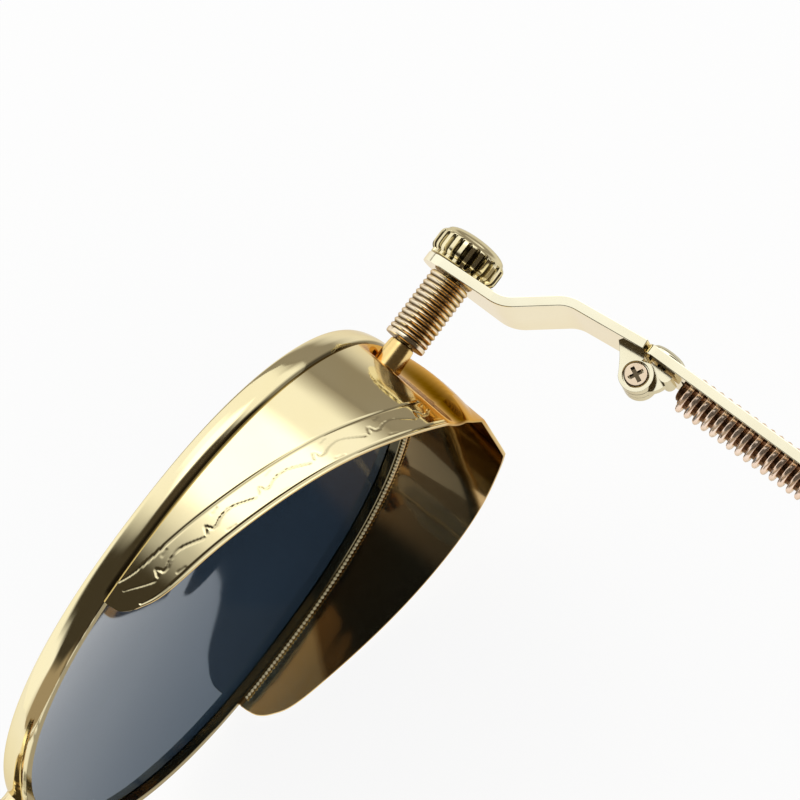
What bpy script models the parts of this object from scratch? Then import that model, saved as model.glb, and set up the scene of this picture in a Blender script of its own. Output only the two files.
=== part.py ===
"""Round steampunk sunglasses with side shields, thumbscrew posts and spring temples.

One side is modelled at +X, the wearer's left, and mirrored to make the other.
The glasses face -Y, the temples run to +Y, and rims and temple tips stand on Z = 0.
At the end the whole model is centred over the origin.
"""

from math import atan2, ceil, cos, hypot, pi, radians, sin, sqrt

import bmesh
import bpy
from mathutils import Matrix, Vector

# Clearances
SEAT_GAP = 0.00010        # between two pieces that are soldered, clamped or pressed together
RUN_GAP = 0.00010         # round a screw or between two knuckles
OVERRUN = 0.00200         # how far a cutter runs past what it cuts
WELD = 0.000001           # points closer than this are one point

# Lens opening, seen from the front
LENS_HALF_WIDTH = 0.02400
LENS_HALF_HEIGHT = 0.02400
OUTLINE_POWER = 2.3       # 2 is an ellipse, more is squarer
BRIDGE_WIDTH = 0.02400    # between the two lens openings
WRAP_ANGLE = radians(3.2)
TILT_ANGLE = radians(1.3)

# Rim
RIM_DEPTH = 0.00250
RIM_WALL = 0.00115
RIM_FRONT_WALL = 0.00070
LENS_SETBACK = 0.00085    # from the rim's back plane to the lens
GROOVE_DEPTH = 0.00045
RIM_STATIONS = 48

# Lens
LENS_THICKNESS = 0.00120
LENS_CURVE_RADIUS = 0.13000
LENS_RING_SHARES = (0.18, 0.60)
BEVEL_HEIGHT = 0.00030

# Side shield
SHEET = 0.00030
SHIELD_OFFSET = 0.00100   # from the lens opening to the middle of the sheet
SHIELD_SPAN = radians(105.5)
SHIELD_DEPTH = 0.01150
FLAT_SIDE_DRAW = 0.00120  # how far the flat temple side comes in at its rear edge
POCKET_DEPTH = 0.00130
POCKET_CREST = 0.00035
POCKET_FRONT = 0.00110    # depth of the pocket's front wall
POCKET_TOP = radians(26.5)
POCKET_TOP_REAR = radians(32.5)
POCKET_FOOT = radians(2.0)
POCKET_FOOT_REAR = radians(28.0)
POCKET_FADE_POWER = 0.6   # how soon the pocket runs out towards the rear
POCKET_ROUND_POWER = 1.2
CREST_START_SHARE = -0.60  # of the pocket's width, below its lower side
CREST_END_SHARE = 0.25
SHIELD_COLUMNS = 36
SHIELD_ROWS = 6

# Post with its lug and thumbscrew, in a frame turned with the lens
ARM_RISE = 0.00760        # post and temple above the lens centre
POST_BACK = 0.00149       # post axis behind the rim's back plane
POST_STANDOFF = 0.00162   # its foot, outward from the lens opening
POST_LENGTH = 0.00650
POST_RADIUS = 0.00190
RIDGE_PITCH = 0.00050
RIDGE_DEPTH = 0.00024
POST_BORE = 0.00085
LUG_RADIUS = 0.00105
LUG_ROOT = 0.00330        # how far the uncut lug reaches in under the post
SPIGOT_LENGTH = 0.00150
KNOB_RADIUS = 0.00322
KNOB_COLLAR = 0.00035
KNOB_COLLAR_RADIUS = 0.00290
KNOB_BAND = 0.00200
KNOB_DOME = 0.00080
KNOB_DOME_FOOT = 0.00285
KNOB_CHAMFER = 0.00025
KNOB_TOP_SHARE = 0.55     # of the dome's foot, at the dome's top
FLUTES = 24
FLUTE_DEPTH = 0.00032
SHANK_REACH = 0.00450     # of the thumbscrew, into the post

# Arm plate
PLATE = 0.00090
PLATE_HALF_HEIGHT = 0.00405
PLATE_EYE = 0.00295
EYE_FLARE = 0.00450       # from the post axis to the plate's full height
CRANK_START = 0.00718     # in the post's frame
CRANK_END = 0.01370
CRANKED_STANDOFF = 0.01138  # middle of the plate behind the crank, outward from the lens opening
CRANK_DRIFT = 0.00025     # outward between the crank and the hinge
PLATE_END = 0.02120
BEND_RADIUS = 0.00130

# Hinge
HINGE_STANDOFF = 0.00940  # hinge axis, outward from the lens opening
HINGE_BACK = 0.02139      # and behind the rim's back plane
KNUCKLE_RADIUS = 0.00150
KNUCKLE_HEIGHT = 0.00107
HINGE_SHANK = 0.00055
HINGE_HEAD = 0.00105
HINGE_HEAD_HEIGHT = 0.00040
LEAF_FOOT = 0.00260       # length of the front leaf's foot along the plate
LEAF_SETBACK = 0.00035
LEAF_THICKNESS = 0.00045
LEAF_START = 0.00120      # rear leaf along the temple bar
LEAF_LENGTH = 0.00225
WEB_WIDTH_SHARE = 0.94    # of the knuckle's width
WEB_FOOT_SHARE = 0.85     # of the rear leaf's length
RIVET_PLACE = 0.00190
RIVET_SHANK = 0.00040
RIVET_DOME = 0.00165
RIVET_DOME_HEIGHT = 0.00080
RIVET_RING_SHARES = (0.40, 0.75, 1.00)
RIVET_FALL_SHARE = 0.92   # of the way round to a half ball

# Temple bar, measured back from its front end
BAR_STANDOFF = 0.01158    # middle of the bar, outward from the lens opening
BAR_START = 0.02135
SPLAY = radians(4.2)      # the temples close in towards the back
BAR_HALF_HEIGHT = 0.00405
BAR_CORNER = 0.00090
WINDOW_START = 0.00360
WINDOW_HALF_HEIGHT = 0.00215
WINDOW_END_WALL = 0.00250
BAR_TAPER = 0.01000
TAIL_HALF_HEIGHT = 0.00160
TEMPLE_STRAIGHT = 0.07000
BAR_BEND_SHARE = 0.90     # of the straight, where the tail's outline begins
EAR_RADIUS = 0.03800
EAR_ANGLE = radians(42.0)
TIP_START = 0.07400       # where the sleeve begins, along the temple
TAIL_IN_TIP = 0.02600
TIP_HALF_HEIGHT = 0.00225
TIP_HALF_WIDTH = 0.00165
TIP_PADDLE = 0.00270
TIP_LIP = 0.00030
TIP_CENTRE_RISE = 0.00170  # middle of the tip's end above the ground
TIP_STEP = 0.00550
TIP_SWELL_SHARE = 0.90
TIP_SIDES = 12

# Coil spring and its rod
COIL_TURNS = 37
COIL_PITCH = 0.000885
COIL_WIRE = 0.00046       # diameter
COIL_OUTER = 0.00350      # diameter
COIL_INSET = 0.00060      # from the bar's middle plane, inward
COIL_POINTS = 8           # on each turn
ROD_RADIUS = 0.00108

# Closing block of the rim and its screw
BLOCK_ANGLE = radians(-50.0)
BLOCK_LENGTH = 0.00320
BLOCK_RISE = 0.00190
BLOCK_DEPTH = 0.00200
SLIT = 0.00020
RIM_SCREW = 0.00040
RIM_SCREW_HEAD = 0.00070
RIM_SCREW_HEAD_HEIGHT = 0.00045

# Bridge
BRIDGE_RISE = 0.00700     # its ends above the lens centres
BRIDGE_ARCH = 0.00260
BRIDGE_FORWARD = 0.00120
BRIDGE_RADIUS = 0.00125

# Nose pads
PAD_ARM_ANGLE = radians(197.0)
PAD_WIRE = 0.00055        # radius
PAD_GAP = 0.00300         # pivot from the lens opening, towards the nose
PAD_BACK = 0.00640
PAD_DROP = 0.00560        # pivot below the lens centre
PAD_ARM_SAG = 0.00260
PAD_EAR = 0.00045
PAD_TAB = 0.00120
PAD_EAR_RADIUS = 0.00105
PAD_PIN = 0.00035
PAD_PIN_HEAD = 0.00065
PAD_PIN_HEAD_HEIGHT = 0.00035
PAD_BOX_REACH = 0.00170
PAD_HALF_HEIGHT = 0.00680
PAD_HALF_DEPTH = 0.00370
PAD_THICKNESS = 0.00260
PAD_STANDOFF = 0.00135    # from the pivot to the pad's back
PAD_SPLAY = radians(24.0)
PAD_NARROW_SHARE = 0.16   # narrower at its upper end
PAD_RING_SHARES = ((0.00, 0.80), (0.22, 0.97), (0.50, 1.00), (0.80, 0.80), (1.00, 0.42))
PAD_SIDES = 16

# Smoothness of round pieces
SMALL_SIDES = 14
KNUCKLE_SIDES = 18
ROUND_SIDES = 24
SMOOTH_ANGLE = radians(35.0)

# Worked out from the sizes above
LENS_SPACING = 2 * LENS_HALF_WIDTH + BRIDGE_WIDTH
LENS_CENTRE_RISE = ((LENS_HALF_HEIGHT + RIM_WALL) * cos(TILT_ANGLE)
                    + RIM_DEPTH * sin(TILT_ANGLE))
ARM_HEIGHT = LENS_CENTRE_RISE + ARM_RISE
LENS_FRAME = (Matrix.Translation((LENS_SPACING / 2, 0, LENS_CENTRE_RISE))
              @ Matrix.Rotation(WRAP_ANGLE, 4, "Z")
              @ Matrix.Rotation(TILT_ANGLE, 4, "X"))
POST_START = LENS_HALF_WIDTH + POST_STANDOFF     # from the lens centre, as the next three
CRANKED_OUT = LENS_HALF_WIDTH + CRANKED_STANDOFF
HINGE_OUT = LENS_HALF_WIDTH + HINGE_STANDOFF
BAR_OUT = LENS_HALF_WIDTH + BAR_STANDOFF
POST_END = POST_START + POST_LENGTH
PLATE_INNER = POST_END + SEAT_GAP
PLATE_OUTER = PLATE_INNER + PLATE
CRANKED_INNER = CRANKED_OUT - PLATE / 2
COIL_LENGTH = COIL_TURNS * COIL_PITCH
COIL_RADIUS = (COIL_OUTER - COIL_WIRE) / 2
WINDOW_LENGTH = COIL_LENGTH + 2 * (COIL_WIRE + SEAT_GAP) + COIL_WIRE
WINDOW_END = WINDOW_START + WINDOW_LENGTH
BARREL_HEIGHT = 3 * KNUCKLE_HEIGHT + 2 * RUN_GAP
HINGE_AXIS = Vector((LENS_SPACING / 2 + HINGE_OUT, HINGE_BACK, ARM_HEIGHT))
ARM_FRAME = (Matrix.Translation((LENS_SPACING / 2, 0, ARM_HEIGHT))
             @ Matrix.Rotation(WRAP_ANGLE, 4, "Z"))
POST_AXIS = ARM_FRAME @ Vector((POST_START, POST_BACK, 0))
PAD_OUT = BRIDGE_WIDTH / 2 - PAD_GAP
PAD_PIVOT = Vector((PAD_OUT, PAD_BACK, LENS_CENTRE_RISE - PAD_DROP))
TEMPLE_FRAME = (Matrix.Translation((LENS_SPACING / 2 + BAR_OUT, BAR_START, ARM_HEIGHT))
                @ Matrix.Rotation(SPLAY, 4, "Z")
                @ Matrix.Rotation(pi / 2, 4, "Z")
                @ Matrix.Rotation(pi / 2, 4, "X"))
OUTWARD = Matrix.Rotation(pi / 2, 4, "Y")      # turns a piece made along Z to point along +X
POST_FRAME = Matrix.Translation(POST_AXIS) @ Matrix.Rotation(WRAP_ANGLE, 4, "Z") @ OUTWARD


def clear_scene():
    """Start from nothing."""
    for item in list(bpy.data.objects):
        bpy.data.objects.remove(item)


def add_collection(name):
    """A new collection in the scene."""
    group = bpy.data.collections.new(name)
    bpy.context.scene.collection.children.link(group)
    return group


def metal(name, colour, roughness):
    """A polished or plated metal."""
    return finish(name, colour, roughness, 1.0)


def finish(name, colour, roughness, metallic=0.0, alpha=1.0):
    """A Principled material with the piece's colour and gloss."""
    material = bpy.data.materials.new(name)
    material.use_nodes = True
    shader = material.node_tree.nodes["Principled BSDF"]
    shader.inputs["Base Color"].default_value = (*colour, 1.0)
    shader.inputs["Roughness"].default_value = roughness
    shader.inputs["Metallic"].default_value = metallic
    shader.inputs["Alpha"].default_value = alpha
    return material


def add_object(name, data):
    """A new object in the workshop, where pieces are made before they are placed."""
    item = bpy.data.objects.new(name, data)
    WORKSHOP.objects.link(item)
    return item


def baked(item):
    """The object's evaluated mesh as a new object at the world's origin."""
    bpy.context.view_layer.update()
    graph = bpy.context.evaluated_depsgraph_get()
    mesh = bpy.data.meshes.new_from_object(item.evaluated_get(graph))
    mesh.transform(item.matrix_world)
    if item.type == "CURVE":
        work = bmesh.new()
        work.from_mesh(mesh)
        bmesh.ops.remove_doubles(work, verts=work.verts, dist=WELD)
        work.to_mesh(mesh)
        work.free()
    name = item.name
    bpy.data.objects.remove(item)
    return add_object(name, mesh)


def moved(item, frame):
    """The mesh object moved by a matrix."""
    item.data.transform(frame)
    return item


def combine(body, tool, operation):
    """The body after one Boolean step with the tool, which is used up."""
    step = body.modifiers.new(operation.lower(), "BOOLEAN")
    step.operation = operation
    step.object = tool
    step.solver = "EXACT"
    tool.display_type = "WIRE"
    tool.hide_render = True
    result = baked(body)
    bpy.data.objects.remove(tool)
    return result


def cut(body, tool):
    """The body without the tool's space."""
    return combine(body, tool, "DIFFERENCE")


def join(body, tool):
    """The body fused with the tool."""
    return combine(body, tool, "UNION")


def common(body, tool):
    """What the body and the tool share."""
    return combine(body, tool, "INTERSECT")


def loft(name, rings, closed=False):
    """A closed body through rings of points, joined end to end or capped."""
    work = bmesh.new()
    loops = [[work.verts.new(point) for point in ring] for ring in rings]
    pairs = list(zip(loops, loops[1:]))
    if closed:
        pairs.append((loops[-1], loops[0]))
    for first, second in pairs:
        for index in range(len(first)):
            following = (index + 1) % len(first)
            work.faces.new((first[index], first[following], second[following], second[index]))
    if not closed:
        work.faces.new(loops[0])
        work.faces.new(loops[-1])
    bmesh.ops.recalc_face_normals(work, faces=work.faces)
    mesh = bpy.data.meshes.new(name)
    work.to_mesh(mesh)
    work.free()
    return add_object(name, mesh)


def turned(name, profile, sides=ROUND_SIDES, closed=False):
    """A turned piece round Z from (radius, height) points, down its outer side first."""
    mesh = bpy.data.meshes.new(name)
    count = len(profile)
    edges = [(index, index + 1) for index in range(count - 1)]
    if closed:
        edges.append((count - 1, 0))
    mesh.from_pydata([(radius, 0, height) for radius, height in profile], edges, [])
    item = add_object(name, mesh)
    step = item.modifiers.new("turn", "SCREW")
    step.axis = "Z"
    step.angle = 2 * pi
    step.steps = sides
    step.render_steps = sides
    step.use_merge_vertices = True
    step.merge_threshold = WELD
    return baked(item)


def cylinder(name, radius, low, high, sides=ROUND_SIDES):
    """A cylinder round Z between two heights."""
    work = bmesh.new()
    place = Matrix.Translation((0, 0, (low + high) / 2))
    bmesh.ops.create_cone(work, cap_ends=True, segments=sides, radius1=radius,
                          radius2=radius, depth=high - low, matrix=place)
    mesh = bpy.data.meshes.new(name)
    work.to_mesh(mesh)
    work.free()
    return add_object(name, mesh)


def box(name, low, high):
    """A box between two corners."""
    size = Vector(high) - Vector(low)
    middle = (Vector(high) + Vector(low)) / 2
    work = bmesh.new()
    bmesh.ops.create_cube(work, size=1.0, matrix=Matrix.LocRotScale(middle, None, size))
    mesh = bpy.data.meshes.new(name)
    work.to_mesh(mesh)
    work.free()
    return add_object(name, mesh)


def flat_piece(name, outlines, thickness):
    """A flat plate in the XY plane, with the later outlines as its holes."""
    curve = bpy.data.curves.new(name, "CURVE")
    curve.dimensions = "2D"
    curve.fill_mode = "BOTH"
    curve.extrude = thickness / 2
    for outline in outlines:
        spline = curve.splines.new("POLY")
        spline.points.add(len(outline) - 1)
        for point, (across, up) in zip(spline.points, outline):
            point.co = (across, up, 0, 1)
        spline.use_cyclic_u = True
    return baked(add_object(name, curve))


def tube(name, points, radius, detail=2):
    """A round wire along a list of points."""
    curve = bpy.data.curves.new(name, "CURVE")
    curve.dimensions = "3D"
    curve.bevel_depth = radius
    curve.bevel_resolution = detail
    curve.use_fill_caps = True
    spline = curve.splines.new("POLY")
    spline.points.add(len(points) - 1)
    for point, place in zip(spline.points, points):
        point.co = (*place, 1)
    return baked(add_object(name, curve))


def arc(middle, radius, start, end, steps):
    """Points on an arc in a plane, from one angle to another."""
    angles = [start + (end - start) * index / steps for index in range(steps + 1)]
    return [(middle[0] + radius * cos(angle), middle[1] + radius * sin(angle)) for angle in angles]


def circle(middle, radius, sides=ROUND_SIDES):
    """Points on a full circle in a plane."""
    return arc(middle, radius, 0, 2 * pi, sides)[:-1]


def rounded_rectangle(low, high, radius, steps=3):
    """Outline of a rectangle with round corners."""
    corners = ((high[0] - radius, high[1] - radius, 0),
               (low[0] + radius, high[1] - radius, 1),
               (low[0] + radius, low[1] + radius, 2),
               (high[0] - radius, low[1] + radius, 3))
    points = []
    for across, up, quarter in corners:
        points += arc((across, up), radius, quarter * pi / 2, (quarter + 1) * pi / 2, steps)
    return points


def bent_strip(path, thickness, radius, steps=4):
    """Outline of a strip along a bent path, with each bend rounded."""
    line = [Vector(path[0])]
    for before, corner, after in zip(path, path[1:], path[2:]):
        before, corner, after = Vector(before), Vector(corner), Vector(after)
        arrive = (corner - before).normalized()
        leave = (after - corner).normalized()
        reach = radius * abs(arrive.angle_signed(leave)) / 2
        for index in range(steps + 1):
            share = index / steps
            start = corner - arrive * reach * (1 - share)
            end = corner + leave * reach * share
            line.append(start.lerp(end, share))
    line.append(Vector(path[-1]))
    left, right = [], []
    for index, point in enumerate(line):
        ahead = line[min(index + 1, len(line) - 1)]
        behind = line[max(index - 1, 0)]
        along = (ahead - behind).normalized()
        side = Vector((-along.y, along.x)) * thickness / 2
        left.append(tuple(point + side))
        right.append(tuple(point - side))
    return left + right[::-1]


def outline_point(angle, offset):
    """Point of the lens opening's outline at an angle from outward, moved out by an offset."""
    across = abs(cos(angle)) / (LENS_HALF_WIDTH + offset)
    up = abs(sin(angle)) / (LENS_HALF_HEIGHT + offset)
    reach = (across ** OUTLINE_POWER + up ** OUTLINE_POWER) ** (-1 / OUTLINE_POWER)
    return reach * cos(angle), reach * sin(angle)


def outline_ring(offset, back, count=RIM_STATIONS):
    """Ring of points round the lens opening, at a distance behind the rim's back plane."""
    ring = []
    for index in range(count):
        across, up = outline_point(2 * pi * index / count, offset)
        ring.append((across, back, up))
    return ring


def rim_space(name):
    """The space that the rim and the lens take, with the seat gap, for trimming what meets it."""
    offset = RIM_WALL + SEAT_GAP
    rings = [outline_ring(offset, -RIM_DEPTH - OVERRUN), outline_ring(offset, SEAT_GAP)]
    return moved(loft(name, rings), LENS_FRAME)


def make_rim():
    """Rim band with its lens groove, closing block and slit."""
    groove_front = -LENS_SETBACK - LENS_THICKNESS
    groove_middle = (groove_front - LENS_SETBACK) / 2
    profile = ((0, 0), (RIM_WALL, 0), (RIM_WALL, -RIM_DEPTH / 2),
               (RIM_FRONT_WALL, -RIM_DEPTH), (0, -RIM_DEPTH), (0, groove_front),
               (GROOVE_DEPTH, groove_middle), (0, -LENS_SETBACK))
    sections = []
    for index in range(RIM_STATIONS):
        angle = 2 * pi * index / RIM_STATIONS
        section = []
        for offset, back in profile:
            across, up = outline_point(angle, offset)
            section.append((across, back, up))
        sections.append(section)
    rim = loft("rim", sections, closed=True)
    half = BLOCK_LENGTH / 2
    depth_low = -RIM_DEPTH / 2 - BLOCK_DEPTH / 2
    depth_high = -RIM_DEPTH / 2 + BLOCK_DEPTH / 2
    block = box("block", (-RIM_WALL / 2, depth_low, -half), (BLOCK_RISE, depth_high, half))
    rim = join(rim, moved(block, block_frame()))
    slit = box("slit", (-OVERRUN, -RIM_DEPTH - OVERRUN, -SLIT / 2),
               (BLOCK_RISE + OVERRUN, OVERRUN, SLIT / 2))
    rim = cut(rim, moved(slit, block_frame()))
    bore = cylinder("bore", RIM_SCREW + RUN_GAP, -half - OVERRUN, half + OVERRUN, SMALL_SIDES)
    rim = cut(rim, moved(bore, block_frame() @ screw_seat()))
    return moved(rim, LENS_FRAME)


def block_frame():
    """Frame of the closing block: X outward from the rim, Z along the rim."""
    across, up = outline_point(BLOCK_ANGLE, RIM_WALL)
    turn = Matrix.Rotation(-BLOCK_ANGLE, 4, "Y")
    return Matrix.Translation((across, 0, up)) @ turn


def screw_seat():
    """Frame of the rim screw's axis in the closing block."""
    return Matrix.Translation((BLOCK_RISE / 2, -RIM_DEPTH / 2, 0))


def make_rim_screw():
    """Screw that closes the rim's two ends on the lens."""
    top = BLOCK_LENGTH / 2 + SEAT_GAP
    profile = ((0, top + RIM_SCREW_HEAD_HEIGHT), (RIM_SCREW_HEAD, top + RIM_SCREW_HEAD_HEIGHT),
               (RIM_SCREW_HEAD, top), (RIM_SCREW, top), (RIM_SCREW, -BLOCK_LENGTH / 2),
               (0, -BLOCK_LENGTH / 2))
    screw = turned("rim_screw", profile, SMALL_SIDES)
    return moved(screw, LENS_FRAME @ block_frame() @ screw_seat())


def make_lens():
    """Curved lens whose bevelled edge lies in the rim's groove."""
    front = -LENS_SETBACK - LENS_THICKNESS + SEAT_GAP
    back = -LENS_SETBACK - SEAT_GAP
    middle = (front + back) / 2

    def bowed_ring(share, back_at_edge):
        reach = LENS_HALF_WIDTH * share
        edge_drop = LENS_CURVE_RADIUS - sqrt(LENS_CURVE_RADIUS ** 2 - LENS_HALF_WIDTH ** 2)
        drop = LENS_CURVE_RADIUS - sqrt(LENS_CURVE_RADIUS ** 2 - reach ** 2)
        ring = outline_ring(-SEAT_GAP, back_at_edge - edge_drop + drop)
        return [(across * share, back, up * share) for across, back, up in ring]

    rings = [bowed_ring(share, front) for share in LENS_RING_SHARES]
    rings.append(outline_ring(-SEAT_GAP, front))
    rings.append(outline_ring(BEVEL_HEIGHT, middle))
    rings.append(outline_ring(-SEAT_GAP, back))
    rings += [bowed_ring(share, back) for share in reversed(LENS_RING_SHARES)]
    return moved(loft("lens", rings), LENS_FRAME)


# The shield's rear edge: place between its lower and upper ends, and depth there
REAR_EDGE_SHARES = ((-1.0, 0.06), (-0.995, 0.16), (-0.975, 0.25), (-0.935, 0.34), (-0.84, 0.435),
                    (-0.64, 0.604), (-0.44, 0.745), (-0.28, 0.83), (-0.14, 0.905), (0.05, 0.96),
                    (0.20, 1.0), (0.28, 0.98), (0.41, 0.885), (0.59, 0.672), (0.79, 0.456),
                    (0.92, 0.338), (0.97, 0.24), (0.995, 0.15), (1.0, 0.06))


def between(low, high, share):
    """The value a share of the way from low to high."""
    return low + (high - low) * share


def rear_edge(share):
    """Depth of the shield at a share of its half span from outward."""
    for (left, left_depth), (right, right_depth) in zip(REAR_EDGE_SHARES, REAR_EDGE_SHARES[1:]):
        if share <= right:
            return SHIELD_DEPTH * between(left_depth, right_depth, (share - left) / (right - left))
    return SHIELD_DEPTH * REAR_EDGE_SHARES[-1][1]


def shield_point(angle, back, raised=0):
    """Point of the shield's middle surface, with its flat side and its pocket for the post."""
    across, up = outline_point(angle, SHIELD_OFFSET)
    depth_share = min(back / SHIELD_DEPTH, 1)
    flat_side = LENS_HALF_WIDTH + SHIELD_OFFSET + SHEET - FLAT_SIDE_DRAW * depth_share
    if across > flat_side:
        up = up * flat_side / across
        across = flat_side
    low = between(POCKET_FOOT, POCKET_FOOT_REAR, depth_share)
    high = between(POCKET_TOP, POCKET_TOP_REAR, depth_share)
    place = (angle - low) / (high - low)
    strength = (1 - depth_share) ** POCKET_FADE_POWER * min(back / POCKET_FRONT, 1)
    shift = raised
    if 0 < place < 1:
        shift -= POCKET_DEPTH * sin(pi * place) ** POCKET_ROUND_POWER * strength
    if CREST_START_SHARE < place < CREST_END_SHARE:
        crest = (place - CREST_START_SHARE) / (CREST_END_SHARE - CREST_START_SHARE)
        shift += POCKET_CREST * sin(pi * crest) * strength
    reach = hypot(across, up)
    return (across * (1 + shift / reach), back, up * (1 + shift / reach))


def shield_sheet(name, raised=0):
    """The shield as an open surface, a grid shaped over the rim's outer side."""
    work = bmesh.new()
    bmesh.ops.create_grid(work, x_segments=SHIELD_COLUMNS, y_segments=SHIELD_ROWS, size=1.0)
    for corner in work.verts:
        share = (sin(corner.co.x * pi / 2) + corner.co.x) / 2
        depth_share = (corner.co.y + 1) / 2
        front = SEAT_GAP
        rear = max(rear_edge(share), 2 * SEAT_GAP)
        corner.co = shield_point(share * SHIELD_SPAN, between(front, rear, depth_share), raised)
    bmesh.ops.reverse_faces(work, faces=work.faces)
    mesh = bpy.data.meshes.new(name)
    work.to_mesh(mesh)
    work.free()
    return add_object(name, mesh)


def make_shield():
    """Side shield of thin sheet, with its rounded ends, flat side and pocket."""
    shield = shield_sheet("side_shield")
    step = shield.modifiers.new("sheet", "SOLIDIFY")
    step.thickness = SHEET
    step.offset = 0
    return moved(baked(shield), LENS_FRAME)


def shield_space(name):
    """The space at and under the shield, for trimming what stands on it."""
    sheet = shield_sheet(name, SHEET / 2 + SEAT_GAP)
    step = sheet.modifiers.new("depth", "SOLIDIFY")
    step.thickness = SHEET + OVERRUN
    step.offset = -1
    return moved(baked(sheet), LENS_FRAME)


def make_lug():
    """Stud that stands in the shield's pocket and carries the post."""
    base = -SEAT_GAP
    profile = ((0, base + SPIGOT_LENGTH), (POST_BORE - RUN_GAP, base + SPIGOT_LENGTH),
               (POST_BORE - RUN_GAP, base), (LUG_RADIUS, base), (LUG_RADIUS, -LUG_ROOT),
               (0, -LUG_ROOT))
    lug = moved(turned("post_lug", profile, SMALL_SIDES), POST_FRAME)
    return cut(lug, shield_space("pocket_floor"))


def make_post():
    """Ridged sleeve between the lug and the arm plate."""
    count = round(POST_LENGTH / RIDGE_PITCH)
    profile = []
    for index in range(count):
        top = POST_LENGTH - index * RIDGE_PITCH
        profile.append((POST_RADIUS - RIDGE_DEPTH, top))
        profile.append((POST_RADIUS, top - RIDGE_PITCH / 2))
    profile.append((POST_RADIUS - RIDGE_DEPTH, 0))
    profile.append((POST_BORE, 0))
    profile.append((POST_BORE, POST_LENGTH))
    post = turned("post_sleeve", profile, SMALL_SIDES, closed=True)
    return moved(post, POST_FRAME)


def fluted_ring(radius, height, depth):
    """Ring of points with one notch for each flute."""
    ring = []
    for index in range(2 * FLUTES):
        angle = pi * index / FLUTES
        reach = radius - depth * (index % 2)
        ring.append((reach * cos(angle), reach * sin(angle), height))
    return ring


def make_thumbscrew():
    """Fluted, domed knob with its shank through the plate and into the post."""
    collar = PLATE_OUTER + SEAT_GAP - POST_START
    foot = collar + KNOB_COLLAR
    band_top = foot + KNOB_BAND
    dome_top = band_top + KNOB_DOME
    shoulder = (KNOB_RADIUS + KNOB_DOME_FOOT) / 2
    rings = [fluted_ring(KNOB_COLLAR_RADIUS, collar, 0),
             fluted_ring(KNOB_COLLAR_RADIUS, foot, 0),
             fluted_ring(KNOB_RADIUS, foot + KNOB_CHAMFER, FLUTE_DEPTH),
             fluted_ring(KNOB_RADIUS, band_top - KNOB_CHAMFER, FLUTE_DEPTH),
             fluted_ring(shoulder, band_top, 0),
             fluted_ring(KNOB_DOME_FOOT * KNOB_TOP_SHARE, dome_top, 0)]
    knob = loft("thumbscrew", rings)
    shank = cylinder("shank", POST_BORE - RUN_GAP, POST_LENGTH - SHANK_REACH, foot, SMALL_SIDES)
    return moved(join(knob, shank), POST_FRAME)


def make_arm_plate():
    """Cranked plate from the thumbscrew to the hinge, with a round eye at its front."""
    middle = PLATE_INNER + PLATE / 2
    front = ARM_FRAME @ Vector((middle, POST_BACK - PLATE_EYE - OVERRUN, 0))
    crank = ARM_FRAME @ Vector((middle, CRANK_START, 0))
    eye_place = ARM_FRAME @ Vector((middle, POST_BACK, 0))
    cranked = LENS_SPACING / 2 + CRANKED_OUT
    path = (front.to_2d(), crank.to_2d(), (cranked, CRANK_END), (cranked + CRANK_DRIFT, PLATE_END))
    plan = bent_strip(path, PLATE, BEND_RADIUS)
    plate = moved(flat_piece("arm_plate", [plan], 2 * PLATE_HALF_HEIGHT + OVERRUN),
                  Matrix.Translation((0, 0, ARM_HEIGHT)))
    flare = atan2(PLATE_HALF_HEIGHT - PLATE_EYE, EYE_FLARE)
    outline = arc((eye_place.y, 0), PLATE_EYE, pi / 2 + flare, 3 * pi / 2 - flare, 14)
    outline += [(eye_place.y + EYE_FLARE, -PLATE_HALF_HEIGHT), (PLATE_END, -PLATE_HALF_HEIGHT),
                (PLATE_END, PLATE_HALF_HEIGHT), (eye_place.y + EYE_FLARE, PLATE_HALF_HEIGHT)]
    side = flat_piece("side_view", [outline], LENS_SPACING)
    turn = Matrix.Rotation(pi / 2, 4, "Z") @ Matrix.Rotation(pi / 2, 4, "X")
    side = moved(side, Matrix.Translation((cranked, 0, ARM_HEIGHT)) @ turn)
    plate = common(plate, side)
    eye = cylinder("eye", POST_BORE, -OVERRUN, PLATE_OUTER - POST_START + OVERRUN, SMALL_SIDES)
    return cut(plate, moved(eye, POST_FRAME))


def plate_inner_face(back):
    """Place beside the plate's inner face, at a depth behind the crank."""
    share = (back - CRANK_END) / (PLATE_END - CRANK_END)
    return LENS_SPACING / 2 + CRANKED_INNER + CRANK_DRIFT * share - SEAT_GAP, back


def knuckle_space(low, high, extra=0):
    """Cylinder round the hinge axis between two heights above the barrel's foot."""
    foot = ARM_HEIGHT - BARREL_HEIGHT / 2
    knuckle = cylinder("knuckle", KNUCKLE_RADIUS + extra, foot + low, foot + high, KNUCKLE_SIDES)
    return moved(knuckle, Matrix.Translation((HINGE_AXIS.x, HINGE_AXIS.y, 0)))


def web(name, foot_start, foot_end, low, high):
    """Web from the hinge barrel to a foot line, between two heights above the barrel's foot."""
    axis = Vector((HINGE_AXIS.x, HINGE_AXIS.y))
    foot_start, foot_end = Vector(foot_start), Vector(foot_end)
    along = ((foot_start + foot_end) / 2 - axis).normalized()
    side = Vector((-along.y, along.x)) * KNUCKLE_RADIUS * WEB_WIDTH_SHARE
    corners = [axis + side, axis - side]
    if (foot_start - foot_end).dot(side) < 0:
        foot_start, foot_end = foot_end, foot_start
    outline = [tuple(corners[0]), tuple(corners[1]), tuple(foot_end), tuple(foot_start)]
    middle = ARM_HEIGHT - BARREL_HEIGHT / 2 + (low + high) / 2
    return moved(flat_piece(name, [outline], high - low), Matrix.Translation((0, 0, middle)))


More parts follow.
